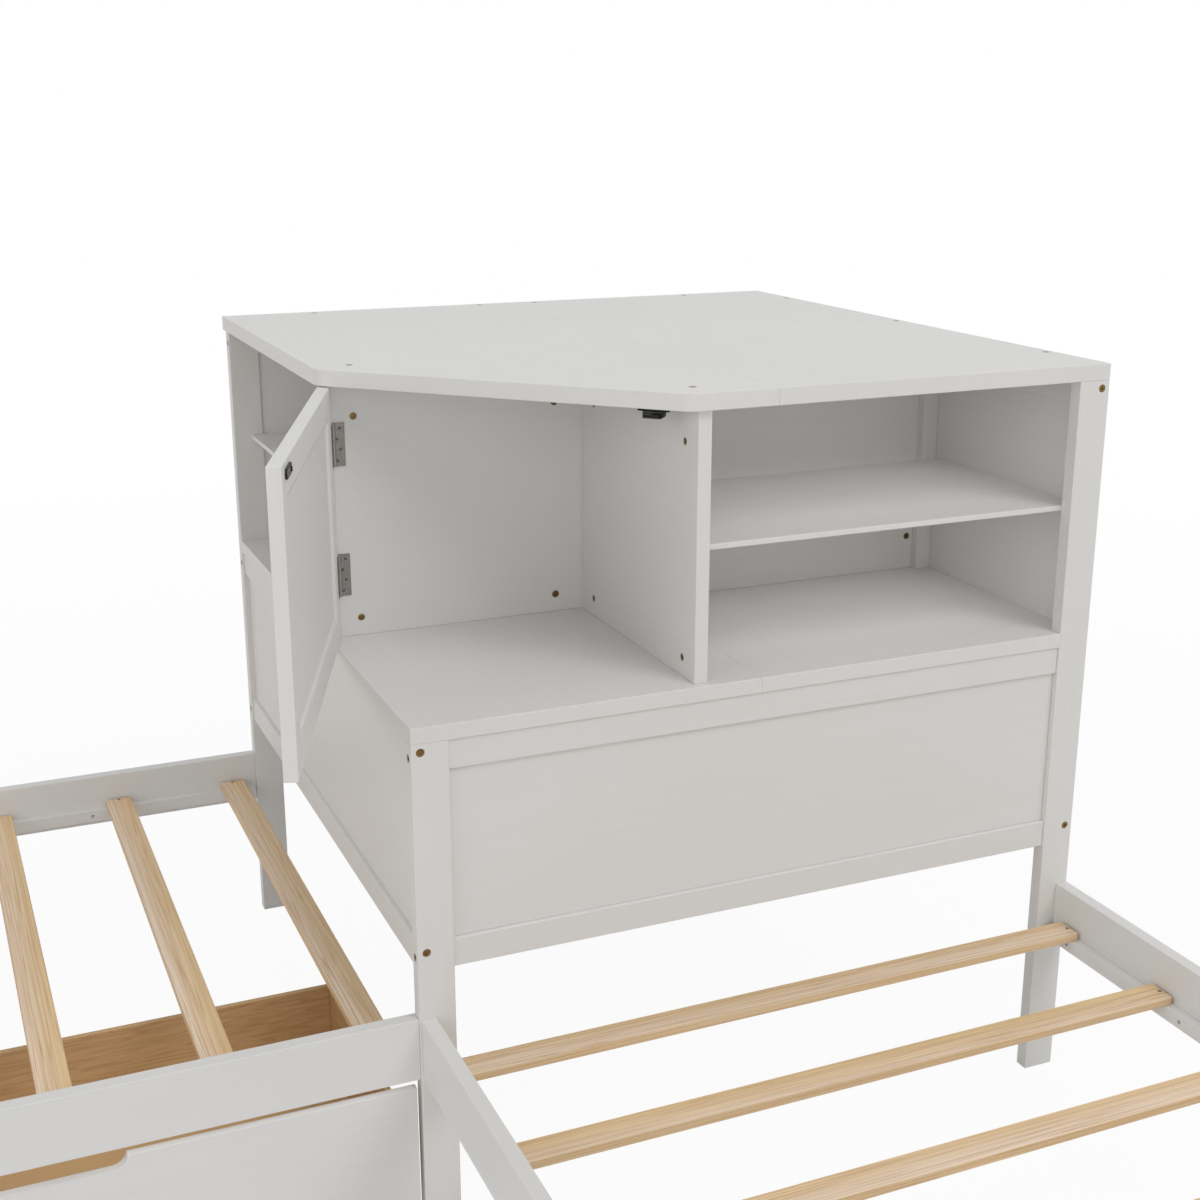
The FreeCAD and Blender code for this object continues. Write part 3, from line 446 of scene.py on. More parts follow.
def finish_of(name):
    """The finish of a carried-over piece, by what it is made of and which way its grain runs."""
    if name == "right_bed_slats":
        return PINE_ACROSS
    if name == "left_bed_slats":
        return PINE_AWAY
    if name.endswith(("_drawer_back", "_drawer_bottom")):
        return PLY_ALONG_X
    if name.endswith("_drawer_sides"):
        return PLY_ALONG_Y
    if name.endswith("_wheels"):
        return WHEEL_PLASTIC
    if name.endswith("_forks") or name.startswith("hinge_"):
        return HINGE_STEEL
    if name in ("frame_bolts", "barrel_nuts"):
        return BRONZE
    if name.startswith("latch_"):
        return BLACK_PLASTIC
    if name in UPRIGHT:
        return PAINT["Z"]
    low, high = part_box(name)
    size = high - low
    return PAINT["X"] if size.x > size.y else PAINT["Y"]


for name, node in nodes.items():
    node.data.materials.clear()
    node.data.materials.append(finish_of(name))


# Piece building: shapes are drawn in millimetres and set into the row frame

# Edges look smooth below an angle in degrees, and are softened above one in radians
SMOOTH_BELOW = 35
SHARP_EDGE = 0.6
# Cosines that pick the faces that look out or up, and the edges that run along a direction
LOOKS_OUT = 0.9
LOOKS_UP = 0.5
RUNS_ALONG = 0.99
# Vertices this near, in metres, become one
MERGE_REACH = 1e-6


def new_piece(name, shape, body, finish, smooth_below=SMOOTH_BELOW):
    """Turn a bmesh into a finished piece that rides on a body."""
    bmesh.ops.remove_doubles(shape, verts=shape.verts, dist=MERGE_REACH)
    bmesh.ops.recalc_face_normals(shape, faces=shape.faces)
    mesh = bpy.data.meshes.new(name)
    shape.to_mesh(mesh)
    shape.free()
    mesh.shade_smooth()
    mesh.set_sharp_from_angle(angle=math.radians(smooth_below))
    mesh.materials.append(finish)
    piece = bpy.data.objects.new(name, mesh)
    bpy.context.scene.collection.objects.link(piece)
    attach(piece, body)
    return piece


def set_in(shape, setting):
    bmesh.ops.transform(shape, matrix=setting, verts=shape.verts)
    return shape


def stamped(pattern, places):
    """Copies of a pattern, each at a point of the row frame and facing a direction."""
    master = bpy.data.meshes.new("pattern")
    pattern.to_mesh(master)
    pattern.free()
    shape = bmesh.new()
    for point, facing in places:
        known = len(shape.verts)
        shape.from_mesh(master)
        shape.verts.ensure_lookup_table()
        turn = facing.to_track_quat("Z", "Y").to_matrix().to_4x4()
        setting = Matrix.Translation(point) @ turn @ Matrix.Scale(MM, 4)
        bmesh.ops.transform(shape, matrix=setting, verts=shape.verts[known:])
    bpy.data.meshes.remove(master)
    return shape


def joined(*shapes):
    whole = bmesh.new()
    for shape in shapes:
        part = bpy.data.meshes.new("part")
        shape.to_mesh(part)
        shape.free()
        whole.from_mesh(part)
        bpy.data.meshes.remove(part)
    return whole


def verts_in(geometry):
    return [item for item in geometry if isinstance(item, bmesh.types.BMVert)]


def edges_in(geometry):
    """The edges among some geometry, each of them once."""
    return [item for item in dict.fromkeys(geometry) if isinstance(item, bmesh.types.BMEdge)]


def ring_of(verts):
    """The edges that join a ring of vertices."""
    return edges_in(edge for vert in verts for edge in vert.link_edges)


def grown(shape, edges, scale, rise):
    """Extrude a loop of edges, scale the new loop about the axis and raise it. Returns the new edges."""
    made = bmesh.ops.extrude_edge_only(shape, edges=edges)["geom"]
    verts = verts_in(made)
    bmesh.ops.scale(shape, vec=(scale, scale, 1), verts=verts)
    bmesh.ops.translate(shape, vec=(0, 0, rise), verts=verts)
    return edges_in(made)


def domed(sides, outline):
    """A round cap grown outwards along pairs of a radius and a height."""
    shape = bmesh.new()
    radius, height = outline[0]
    cap = bmesh.ops.create_circle(shape, segments=sides, radius=radius, cap_ends=True)["verts"]
    bmesh.ops.translate(shape, vec=(0, 0, height), verts=cap)
    loop = ring_of(cap)
    for next_radius, next_height in outline[1:]:
        loop = grown(shape, loop, next_radius / radius, next_height - height)
        radius, height = next_radius, next_height
    return shape


def turned(outline, steps=24):
    """A shape spun about its own axis from pairs of a radius and a height."""
    shape = bmesh.new()
    radius, height = outline[0]
    last = bmesh.ops.create_vert(shape, co=(radius, 0, height))["vert"]
    for next_radius, next_height in outline[1:]:
        step = (next_radius - radius, 0, next_height - height)
        last = bmesh.ops.extrude_vert_indiv(shape, verts=last)["verts"]
        bmesh.ops.translate(shape, vec=step, verts=last)
        radius, height = next_radius, next_height
    line = shape.verts[:] + shape.edges[:]
    turn = 2 * math.pi
    bmesh.ops.spin(shape, geom=line, axis=(0, 0, 1), cent=(0, 0, 0), angle=turn, steps=steps, use_merge=True)
    return shape


def scored(shape, point, normal):
    """Divide every face that a plane crosses."""
    everything = shape.verts[:] + shape.edges[:] + shape.faces[:]
    bmesh.ops.bisect_plane(shape, geom=everything, plane_co=point, plane_no=normal)


def pressed(shape, faces, move):
    """Move faces away from their neighbours and close the step with walls."""
    made = bmesh.ops.extrude_face_region(shape, geom=faces)["geom"]
    bmesh.ops.delete(shape, geom=faces, context="FACES_ONLY")
    bmesh.ops.translate(shape, vec=move, verts=verts_in(made))


def pocket(shape, across, rise, depth):
    """Sink a pocket into the face that looks along -Y, between two places across and two heights."""
    for axis, places in ((FACING["+X"], across), (FACING["+Z"], rise)):
        for place in places:
            scored(shape, axis * place, axis)
    shape.normal_update()

    def in_mouth(face):
        middle = face.calc_center_median()
        looks_out = face.normal.dot(FACING["-Y"]) > LOOKS_OUT
        return looks_out and across[0] < middle.x < across[1] and rise[0] < middle.z < rise[1]

    pressed(shape, [face for face in shape.faces if in_mouth(face)], FACING["+Y"] * depth)


def moulded_block(across, out, rise):
    """A block between two places in each direction, to be softened."""
    low, high = (Vector(corner) for corner in zip(across, out, rise))
    shape = bmesh.new()
    bmesh.ops.create_cube(shape, size=1)
    bmesh.ops.scale(shape, vec=high - low, verts=shape.verts)
    bmesh.ops.translate(shape, vec=(low + high) / 2, verts=shape.verts)
    return shape


def soften(shape, radius, steps, wanted=None):
    """Round the wanted edges, or all the sharp ones."""
    shape.normal_update()
    sharp = [edge for edge in shape.edges if edge.calc_face_angle(0) > SHARP_EDGE]
    edges = [edge for edge in sharp if wanted is None or wanted(edge)]
    bmesh.ops.bevel(shape, geom=edges, offset=radius, offset_type="OFFSET", segments=steps, profile=0.5,
                    affect="EDGES", material=-1)
    return shape


def runs_along(direction):
    """A test for edges along a direction."""

    def test(edge):
        line = (edge.verts[1].co - edge.verts[0].co).normalized()
        return abs(line.dot(direction)) > RUNS_ALONG

    return test


def sunk(places, depth):
    """Points and directions in the row frame for fittings, each let into its face by a depth."""
    return [(spot(*point) - FACING[facing] * depth * MM, FACING[facing]) for point, facing in places]


# Bolts and barrel nuts

HEAD_RADIUS = 5.5
HEAD_SIDES = 24
HEAD_SINK = 0.5
HEAD_WALL = 1.6
RIM_SHARE = 0.93
RIM_DROP = 0.45
SOCKET_RADIUS = 2.7
SOCKET_SIDES = 6
SOCKET_DEPTH = 1.5
LIP_SHARE = 0.94
LIP_DROP = 0.2

NUT_RADIUS = 5.2
NUT_SIDES = 24
NUT_SINK = 0.1
NUT_SLOT_WIDTH = 1.3
NUT_SLOT_DEPTH = 0.8
# Shares of the nut's radius, and heights
NUT_DOME = ((0.45, 0.0), (0.72, -0.12), (0.936, -0.5), (1.0, -1.0), (1.0, -2.2))

HIGH_BOLT_RISE = 29.5
LOW_BOLT_RISE = 19.5
FRONT_NUT_INSET = 51.0
LOWER_NUT_RISE = 27.5
UPPER_NUT_DROP = 48.0
NUT_LEVELS = (DECK_FACE + LOWER_NUT_RISE, TOP_UNDER - UPPER_NUT_DROP)
NUT_BACKSET = 45.5
BATTEN_BOLT_INSET = 12.0
BATTEN_BOLT_MARGIN = 56.0
# Bolts down through the top, along its back edge and its right edge
LEFT_MARGIN = 157.0
RIGHT_MARGIN = 172.0
LEFT_OF_SEAM = 51.0
RIGHT_OF_SEAM = 57.0
BACK_EDGE_BOLTS = (LEFT_MARGIN, TOP_SEAM - LEFT_OF_SEAM, TOP_SEAM + RIGHT_OF_SEAM, WIDTH - RIGHT_MARGIN)
FRONT_MARGIN = 132.0
BACK_MARGIN = 135.0
MIDDLE_SHARE = 0.51
SIDE_EDGE_BOLTS = (FRONT_MARGIN, WIDTH * MIDDLE_SHARE, WIDTH - BACK_MARGIN)
# Bolts of crossing rails pass above and below each other
BED_BOLT_STAGGER = 11.0


def socket_bolt_head():
    """A flat bolt head with a softened rim and a hexagon socket; its top is at zero."""
    shape = bmesh.new()
    circle = bmesh.ops.create_circle(shape, segments=HEAD_SIDES, radius=HEAD_RADIUS * RIM_SHARE)
    rim = ring_of(circle["verts"])
    socket = bmesh.ops.create_circle(shape, segments=SOCKET_SIDES, radius=SOCKET_RADIUS)
    hexagon = ring_of(socket["verts"])
    cuts = HEAD_SIDES // SOCKET_SIDES - 1
    mouth = edges_in(bmesh.ops.subdivide_edges(shape, edges=hexagon, cuts=cuts)["geom_split"])
    bmesh.ops.bridge_loops(shape, edges=rim + mouth)
    wall = grown(shape, rim, 1 / RIM_SHARE, -RIM_DROP)
    grown(shape, wall, 1.0, -HEAD_WALL)
    lip = grown(shape, mouth, LIP_SHARE, -LIP_DROP)
    floor = grown(shape, lip, 1.0, -SOCKET_DEPTH)
    bmesh.ops.edgeloop_fill(shape, edges=floor)
    return shape


def slotted_nut():
    """The domed end of a cross dowel with a slot for a screwdriver."""
    shape = domed(NUT_SIDES, [(share * NUT_RADIUS, height) for share, height in NUT_DOME])
    half = NUT_SLOT_WIDTH / 2
    for side in (-half, half):
        scored(shape, FACING["+Y"] * side, FACING["+Y"])

    def in_slot(face):
        return abs(face.calc_center_median().y) < half and face.normal.z > LOOKS_UP

    pressed(shape, [face for face in shape.faces if in_slot(face)], FACING["-Z"] * NUT_SLOT_DEPTH)
    return shape


def post_bolts():
    """Heads on the posts, where the cabinet's rails end; the two directions pass above each other."""
    found = []
    high = {level: foot + HIGH_BOLT_RISE for level, foot in RAIL_FEET.items()}
    low = {level: foot + LOW_BOLT_RISE for level, foot in RAIL_FEET.items()}
    for level in ("low", "deck"):
        found.append(((NEAR_LINE, 0, high[level]), "-Y"))
        found.append(((0, NEAR_LINE, low[level]), "-X"))
        found.append(((NEAR_LINE, WIDTH, high[level]), "+Y"))
        found.append(((WIDTH, NEAR_LINE, low[level]), "+X"))
    for level in ("low", "top"):
        found.append(((FAR_LINE, 0, high[level]), "-Y"))
    for level in RAIL_FEET:
        found.append(((0, FAR_LINE, low[level]), "-X"))
        found.append(((FAR_LINE, WIDTH, high[level]), "+Y"))
        found.append(((WIDTH, FAR_LINE, low[level]), "+X"))
    return found


def wall_bolts():
    """Heads on the top, under the deck and on the inner walls."""
    found = []
    for x, y in ((FRONT_NUT_INSET, WALL_LINE), (DIVIDER_LINE, FRONT_NUT_INSET)):
        found.append(((x, y, TOP_FACE), "+Z"))
        found.append(((x, y, DECK_UNDER), "-Z"))
    for x in BACK_EDGE_BOLTS:
        found.append(((x, FAR_LINE, TOP_FACE), "+Z"))
    for y in SIDE_EDGE_BOLTS:
        found.append(((FAR_LINE, y, TOP_FACE), "+Z"))
    for level in NUT_LEVELS:
        found.append(((DIVIDER_LINE, WALL_BACK, level), "+Y"))
        found.append(((BAY_WALL_LINE, WALL_FRONT, level), "-Y"))
    for level in (DECK_FACE + BATTEN_BOLT_MARGIN, TOP_UNDER - BATTEN_BOLT_MARGIN):
        found.append(((WALL_END - BATTEN_BOLT_INSET, WALL_FRONT, level), "-Y"))
    return found


def bed_bolts():
    """Heads at both ends of each bed's side rails and foot rail."""
    found = []
    raised = BED_RAIL_LEVEL + BED_BOLT_STAGGER
    lowered = BED_RAIL_LEVEL - BED_BOLT_STAGGER
    for line in BED_RAIL_LINES:
        found.append(((line, POST_THICKNESS, BED_RAIL_LEVEL), "+Y"))
        found.append(((line, FOOT_END, BED_RAIL_LEVEL), "-Y"))
        found.append(((POST_WIDTH, line, raised), "+X"))
        found.append(((FOOT_END, line, BED_RAIL_LEVEL), "-X"))
    for edge, facing_x, facing_y in ((0, "-X", "-Y"), (WIDTH, "+X", "+Y")):
        found.append(((edge, FOOT_LINE, lowered), facing_x))
        found.append(((FOOT_LINE, edge, lowered), facing_y))
    return found


def make_bolts():
    places = sunk(post_bolts() + wall_bolts() + bed_bolts(), HEAD_SINK)
    heads = stamped(socket_bolt_head(), places)
    bolts = new_piece("bolt_heads", heads, "bed", BRONZE)
    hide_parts("frame_bolts")


def make_nuts():
    places = []
    for level in NUT_LEVELS:
        places.append(((FRONT_NUT_INSET, WALL_FRONT, level), "-Y"))
        places.append(((DIVIDER_FACE, FRONT_NUT_INSET, level), "-X"))
        places.append(((DIVIDER_FACE, WALL_FRONT - NUT_BACKSET, level), "-X"))
    ends = stamped(slotted_nut(), sunk(places, NUT_SINK))
    nuts = new_piece("barrel_nut_ends", ends, "bed", BRONZE)
    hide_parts("barrel_nuts")


# Screws: each size is a head's radius, its dome and the reach of its cross

SLAT_SCREW = (2.9, 0.25, 1.9)
LEDGER_SCREW = (2.7, 0.25, 1.8)
LEAF_SCREW = (1.9, 0.1, 1.2)
EAR_SCREW = (2.1, 0.3, 1.3)
PLATE_SCREW = (1.9, 0.2, 1.2)
SCREW_SIDES = 16
SCREW_PROUD = 0.02
CAP_SHARE = 0.55
SHOULDER_SHARE = 0.825
SHOULDER_RISE_SHARE = 0.55
NECK_SHARE = 0.9
NECK_DEPTH = 0.4
CROSS_ARM_SHARE = 0.32
CROSS_DEPTH = 0.5

SLAT_SCREW_INSET = 6.0
LEDGER_THICKNESS = 14.0
LEDGER_HEIGHT = 22.0
LEDGER_SCREW_COUNT = 8
FIRST_LEDGER_SCREW = 53.0
LEDGER_SCREW_PITCH = 249.0

LEAF_HEIGHT = 63.0
LEAF_FEET = (span("hinge_wall_leaves")[0].z, span("hinge_wall_leaves")[1].z - LEAF_HEIGHT)
# Out from the hinge axis and up from a leaf's foot, staggered
LEAF_SCREWS = ((9.9, 55.8), (5.5, 39.5), (9.9, 24.4), (5.5, 8.2))
DOOR_LEAF_SHIFT = 3.0


def cross_screw_head(radius, dome, drive):
    """A small countersunk screw head with a cross recess; its rim is at zero."""
    shape = domed(SCREW_SIDES, [
        (radius * CAP_SHARE, dome),
        (radius * SHOULDER_SHARE, dome * SHOULDER_RISE_SHARE),
        (radius, 0),
        (radius * NECK_SHARE, -NECK_DEPTH),
    ])
    arm = drive * CROSS_ARM_SHARE
    for normal in (FACING["+X"], FACING["+Y"]):
        for side in (-arm, arm):
            scored(shape, normal * side, normal)

    def in_cross(face):
        middle = face.calc_center_median()
        near = min(abs(middle.x), abs(middle.y)) < arm
        return near and middle.xy.length < drive and face.normal.z > LOOKS_UP

    pressed(shape, [face for face in shape.faces if in_cross(face)], FACING["-Z"] * CROSS_DEPTH)
    return shape


def make_screws(name, size, places, body, finish):
    new_piece(name, stamped(cross_screw_head(*size), places), body, finish)


def make_slat_screws():
    places = []
    for index in range(SLAT_COUNT):
        run = -FIRST_SLAT - SLAT_WIDTH / 2 - index * SLAT_PITCH
        for end in (RIGHT_SLATS[0].x + SLAT_SCREW_INSET, RIGHT_SLATS[1].x - SLAT_SCREW_INSET):
            places.append(((end, run, RIGHT_SLATS[1].z), "+Z"))
            places.append(((run, end, LEFT_SLATS[1].z), "+Z"))
    make_screws("slat_screws", SLAT_SCREW, sunk(places, -SCREW_PROUD), "bed", SCREW_STEEL)


def make_ledger_screws():
    places = []
    near_face = BED_RAIL_FACES[0] + LEDGER_THICKNESS
    far_face = BED_RAIL_FACES[1] - LEDGER_THICKNESS
    right_level = RIGHT_SLATS[0].z - LEDGER_HEIGHT / 2
    left_level = LEFT_SLATS[0].z - LEDGER_HEIGHT / 2
    for index in range(LEDGER_SCREW_COUNT):
        run = -FIRST_LEDGER_SCREW - index * LEDGER_SCREW_PITCH
        for face, out in ((near_face, "+"), (far_face, "-")):
            places.append(((face, run, right_level), out + "X"))
            places.append(((run, face, left_level), out + "Y"))
    make_screws("ledger_screws", LEDGER_SCREW, sunk(places, -SCREW_PROUD), "bed", BLACK_STEEL)


def door_setting(angle):
    """Places along the door, out from it and up, set about the hinge axis at an angle."""
    turn = Matrix.Rotation(math.radians(angle), 4, "Z")
    return Matrix.Translation(spot(*HINGE_AXIS)) @ turn @ Matrix.Scale(MM, 4)


CLOSED = door_setting(CLOSED_ANGLE)
OPEN = door_setting(OPEN_ANGLE)
DOOR_FACING = Matrix.Rotation(math.radians(OPEN_ANGLE), 3, "Z") @ FACING["+Y"]


def make_hinge_screws():
    on_wall = []
    on_door = []
    wall_face = WALL_FRONT - LEAF_THICKNESS
    for foot in LEAF_FEET:
        for along, rise in LEAF_SCREWS:
            on_wall.append((spot(HINGE_AXIS.x + along, wall_face, foot + rise), FACING["-Y"]))
            on_door.append((OPEN @ Vector((along + DOOR_LEAF_SHIFT, DOOR_FACE, foot + rise)), DOOR_FACING))
    make_screws("hinge_wall_screws", LEAF_SCREW, on_wall, "bed", BLACK_STEEL)
    make_screws("hinge_door_screws", LEAF_SCREW, on_door, "door", BLACK_STEEL)


# Rounded bead between the door's frame and its panel

DOOR_REACH = 555.07
DOOR_HINGE_GAP = 4.0
DOOR_FRAME_WIDTH = 40.0
DOOR_OPENING = (DOOR_HINGE_GAP + DOOR_FRAME_WIDTH, DOOR_REACH - DOOR_FRAME_WIDTH)
PANEL_RECESS = 5.0
PANEL_FACE = DOOR_FACE - PANEL_RECESS
BEAD_STEPS = 5
BEAD_MERGE_REACH = 0.01
BEAD_SMOOTH_BELOW = 30
QUIRK_WIDTH = 1.4
QUIRK_DEPTH = 2.0
CREST_DROP = 0.2


def bead_outline():
    """The bead's section: a quirk and a quarter round, as pairs of an inset from the opening and a level."""
    quirk_floor = DOOR_FACE - QUIRK_DEPTH
    outline = [(0.0, PANEL_FACE), (0.0, quirk_floor), (QUIRK_WIDTH, quirk_floor)]
    for step in range(BEAD_STEPS + 1):
        angle = math.radians(90 * step / BEAD_STEPS)
        inset = QUIRK_WIDTH + (PANEL_RECESS - QUIRK_WIDTH) * math.sin(angle)
        outline.append((inset, PANEL_FACE + (PANEL_RECESS - CREST_DROP) * math.cos(angle)))
    return outline + outline[:1]


def bead_shape():
    """A mitred ring of that section, set into the opening of the door's frame."""
    foot = span("door_panel")[0].z
    head = span("door_panel")[1].z
    width = DOOR_OPENING[1] - DOOR_OPENING[0]
    height = head - foot
    outline = bead_outline()
    inset, level = outline[0]
    shape = bmesh.new()
    bmesh.ops.create_grid(shape, x_segments=1, y_segments=1, size=0.5)
    bmesh.ops.rotate(shape, matrix=Matrix.Rotation(math.radians(90), 3, "X"), verts=shape.verts)
    bmesh.ops.scale(shape, vec=(width, 1, height), verts=shape.verts)
    bmesh.ops.translate(shape, vec=(0, level, 0), verts=shape.verts)
    bmesh.ops.delete(shape, geom=shape.faces[:], context="FACES_ONLY")
    loop = shape.edges[:]
    for next_inset, next_level in outline[1:]:
        made = bmesh.ops.extrude_edge_only(shape, edges=loop)["geom"]
        loop = edges_in(made)
        narrower = (width - 2 * next_inset) / (width - 2 * inset)
        lower = (height - 2 * next_inset) / (height - 2 * inset)
        bmesh.ops.scale(shape, vec=(narrower, 1, lower), verts=verts_in(made))
        bmesh.ops.translate(shape, vec=(0, next_level - level, 0), verts=verts_in(made))
        inset, level = next_inset, next_level
    middle = Vector((sum(DOOR_OPENING) / 2, 0, (foot + head) / 2))
    bmesh.ops.translate(shape, vec=middle, verts=shape.verts)
    bmesh.ops.remove_doubles(shape, verts=shape.verts, dist=BEAD_MERGE_REACH)
    return shape


# Latch under the top, its plunger, and the strike on the door, all laid out along the door

LATCH_MIDDLE = 482.1
LATCH_FRONT = 8.9
CASE_LENGTH = 28.0
CASE_DEPTH = 16.0
CASE_HEIGHT = 18.0
CASE_FOOT = TOP_UNDER - CASE_HEIGHT
CASE_CORNER = 4.4
CASE_ROUND = 0.7
EAR_LENGTH = 45.0
EAR_DEPTH = 12.0
EAR_THICKNESS = 8.0
EAR_PROUD = 0.05
EAR_CORNER = 4.6
EAR_SCREW_REACH = 18.4
TRIM_ROUND = 0.4

# Each rib's reach to the right of the latch's middle, and its rise from the case's foot
RIBS = ((10.0, 0.4), (0.3, 5.2), (12.5, 8.2))
RIB_LEFT = 13.0
RIB_HEIGHT = 1.1
RIB_PROUD = 0.7
RIB_LET_IN = 0.5

PLUNGER_OFFSET = 6.0
PLUNGER_MIDDLE = LATCH_MIDDLE + PLUNGER_OFFSET
PLUNGER_WIDTH = 10.0
PLUNGER_REACH = 7.0
PLUNGER_ROUND = 0.5
PLUNGER_RIM = 0.9
PLUNGER_DISH = 0.3
MOUTH_GAP = 0.3
MOUTH_DEPTH = 12.4

STRIKE_OFFSET = 25.0
STRIKE_MIDDLE = LATCH_MIDDLE + STRIKE_OFFSET
STRIKE_LENGTH = 48.0
STRIKE_THICKNESS = 2.5
STRIKE_CORNER = 5.8
HOOK_ACROSS = (-12.5, -8.0)
HOOK_OUT = (1.2, 3.6)
HOOK_RISE = (3.5, 9.5)
HOOK_ROUND = 0.9
STEEL_ACROSS = (-6.0, 19.0)
STEEL_OUT = (1.0, 1.9)
STEEL_RISE = (2.7, 10.3)
STEEL_CORNER = 3.0
STEEL_ROUND = 0.25
PLATE_SCREWS = (0.0, 13.0)


def about(middle, length):
    """Two places, half a length to each side of a middle."""
    return middle - length / 2, middle + length / 2


def offset(start, places):
    """Places moved along by a start."""
    return tuple(start + place for place in places)


def rise_of(name):
    """The heights of a piece's foot and head."""
    low, high = span(name)
    return low.z, high.z


def latch_shape():
    """A moulded case with a big round at one lower corner, ears and the plunger's mouth."""
    depth = (LATCH_FRONT, LATCH_FRONT + CASE_DEPTH)
    case = moulded_block(about(LATCH_MIDDLE, CASE_LENGTH), depth, (CASE_FOOT, TOP_UNDER))
    runs_through = runs_along(FACING["+Y"])

    def is_lower_corner(edge):
        middle = (edge.verts[0].co + edge.verts[1].co) / 2
        return runs_through(edge) and middle.x > LATCH_MIDDLE and middle.z < CASE_FOOT + CASE_HEIGHT / 2

    soften(case, CASE_CORNER, steps=5, wanted=is_lower_corner)
    soften(case, CASE_ROUND, steps=2)
    foot, head = rise_of("latch_plunger")
    mouth = about(PLUNGER_MIDDLE, PLUNGER_WIDTH + 2 * MOUTH_GAP)
    pocket(case, mouth, (foot - MOUTH_GAP, head + MOUTH_GAP), MOUTH_DEPTH)
    ear_depth = (LATCH_FRONT - EAR_PROUD, LATCH_FRONT + EAR_DEPTH)
    ears = moulded_block(about(LATCH_MIDDLE, EAR_LENGTH), ear_depth, (TOP_UNDER - EAR_THICKNESS, TOP_UNDER))
    soften(ears, EAR_CORNER, steps=3, wanted=runs_along(FACING["+Z"]))
    soften(ears, TRIM_ROUND, steps=2)
    return joined(case, ears)


def rib_shape():
    """Three ribs across the case's front, in a lighter grey that paints highlights on the case's front; the
    middle one stops at the plunger's mouth.
    """
    out = (LATCH_FRONT - RIB_PROUD, LATCH_FRONT + RIB_LET_IN)
    ribs = []
    for reach, rise in RIBS:
        low = CASE_FOOT + rise
        rib = moulded_block(offset(LATCH_MIDDLE, (-RIB_LEFT, reach)), out, (low, low + RIB_HEIGHT))
        ribs.append(soften(rib, TRIM_ROUND, steps=2))
    return joined(*ribs)


def plunger_shape():
    """A square plunger with a dished nose."""
    out = about(LATCH_FRONT, 2 * PLUNGER_REACH)
    bar = moulded_block(about(PLUNGER_MIDDLE, PLUNGER_WIDTH), out, rise_of("latch_plunger"))
    soften(bar, PLUNGER_ROUND, steps=2)
    bar.normal_update()
    nose = max(bar.faces, key=lambda face: -face.normal.y * face.calc_area())
    bmesh.ops.inset_individual(bar, faces=[nose], thickness=PLUNGER_RIM, depth=-PLUNGER_DISH)
    return bar


def strike_shape():
    """A round-ended plate with a hooked catch."""
    foot, head = rise_of("latch_strike")
    out = (DOOR_FACE, DOOR_FACE + STRIKE_THICKNESS)
    plate = moulded_block(about(STRIKE_MIDDLE, STRIKE_LENGTH), out, (foot, head))
    soften(plate, STRIKE_CORNER, steps=5, wanted=runs_along(FACING["+Y"]))
    soften(plate, TRIM_ROUND, steps=2)
    hook = moulded_block(offset(STRIKE_MIDDLE, HOOK_ACROSS), HOOK_OUT, offset(foot, HOOK_RISE))
    soften(hook, HOOK_ROUND, steps=3)
    return joined(plate, hook)


def strike_face():
    """A steel plate let into the strike, softened all round."""
    foot = rise_of("latch_strike")[0]
    plate = moulded_block(offset(STRIKE_MIDDLE, STEEL_ACROSS), STEEL_OUT, offset(foot, STEEL_RISE))
    soften(plate, STEEL_CORNER, steps=4, wanted=runs_along(FACING["+Y"]))
    soften(plate, STEEL_ROUND, steps=2)
    return plate


def make_latch():
    case = new_piece("latch_case", set_in(latch_shape(), CLOSED), "bed", BLACK_PLASTIC)
    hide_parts("latch_body")
    # The ribs' lighter grey is a painted highlight on the case's front
    new_piece("latch_ribs", set_in(rib_shape(), CLOSED), "bed", HIGHLIGHT_GREY_PLASTIC)
    plunger = set_in(plunger_shape(), CLOSED)
    nose = new_piece("latch_nose", plunger, "latch_plunger", BLACK_PLASTIC)
    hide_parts("latch_plunger")
    strike = new_piece("door_strike", set_in(strike_shape(), OPEN), "door", BLACK_PLASTIC)
    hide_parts("latch_strike")
    new_piece("strike_plate", set_in(strike_face(), OPEN), "door", HINGE_STEEL)


def make_latch_screws():
    in_ears = []
    for side in (-EAR_SCREW_REACH, EAR_SCREW_REACH):
        place = Vector((LATCH_MIDDLE + side, LATCH_FRONT + EAR_DEPTH / 2, TOP_UNDER - EAR_THICKNESS))
        in_ears.append((CLOSED @ place, FACING["-Z"]))
    make_screws("latch_screws", EAR_SCREW, in_ears, "bed", SCREW_STEEL)
    in_plate = []
    for side in PLATE_SCREWS:
        place = Vector((STRIKE_MIDDLE + side, STEEL_OUT[1], sum(rise_of("latch_strike")) / 2))
        in_plate.append((OPEN @ place, DOOR_FACING))
    make_screws("strike_screws", PLATE_SCREW, in_plate, "door", SCREW_STEEL)


# Caster wheels: half of a section, from the hub over a dished web to the groove round the tread

WHEEL_WIDTH = 14.0
HALF_WHEEL = [
    (3.05, 6.0), (5.4, 6.0), (6.0, 4.4), (10.0, 4.4), (10.7, 6.6),
    (11.6, 7.0), (13.2, 6.6), (14.0, 5.6), (14.0, 0.9), (13.4, 0.5),
]


def make_caster_wheels(drawer, line):
    node = "%s_drawer_%s_wheels" % (drawer, line)
    low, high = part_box(node)
    middle = (low + high) / 2
    inset = WHEEL_WIDTH / 2 * MM
    places = [(Vector((x, middle.y, middle.z)), FACING["+X"]) for x in (low.x + inset, high.x - inset)]
    inner_half = [(radius, -height) for radius, height in HALF_WHEEL]
    section = inner_half + HALF_WHEEL[::-1] + inner_half[:1]
    shape = stamped(turned(section), places)
    name = "%s_%s_caster_wheels" % (drawer, line)
    wheels = new_piece(name, shape, node, WHEEL_PLASTIC)
    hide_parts(node)


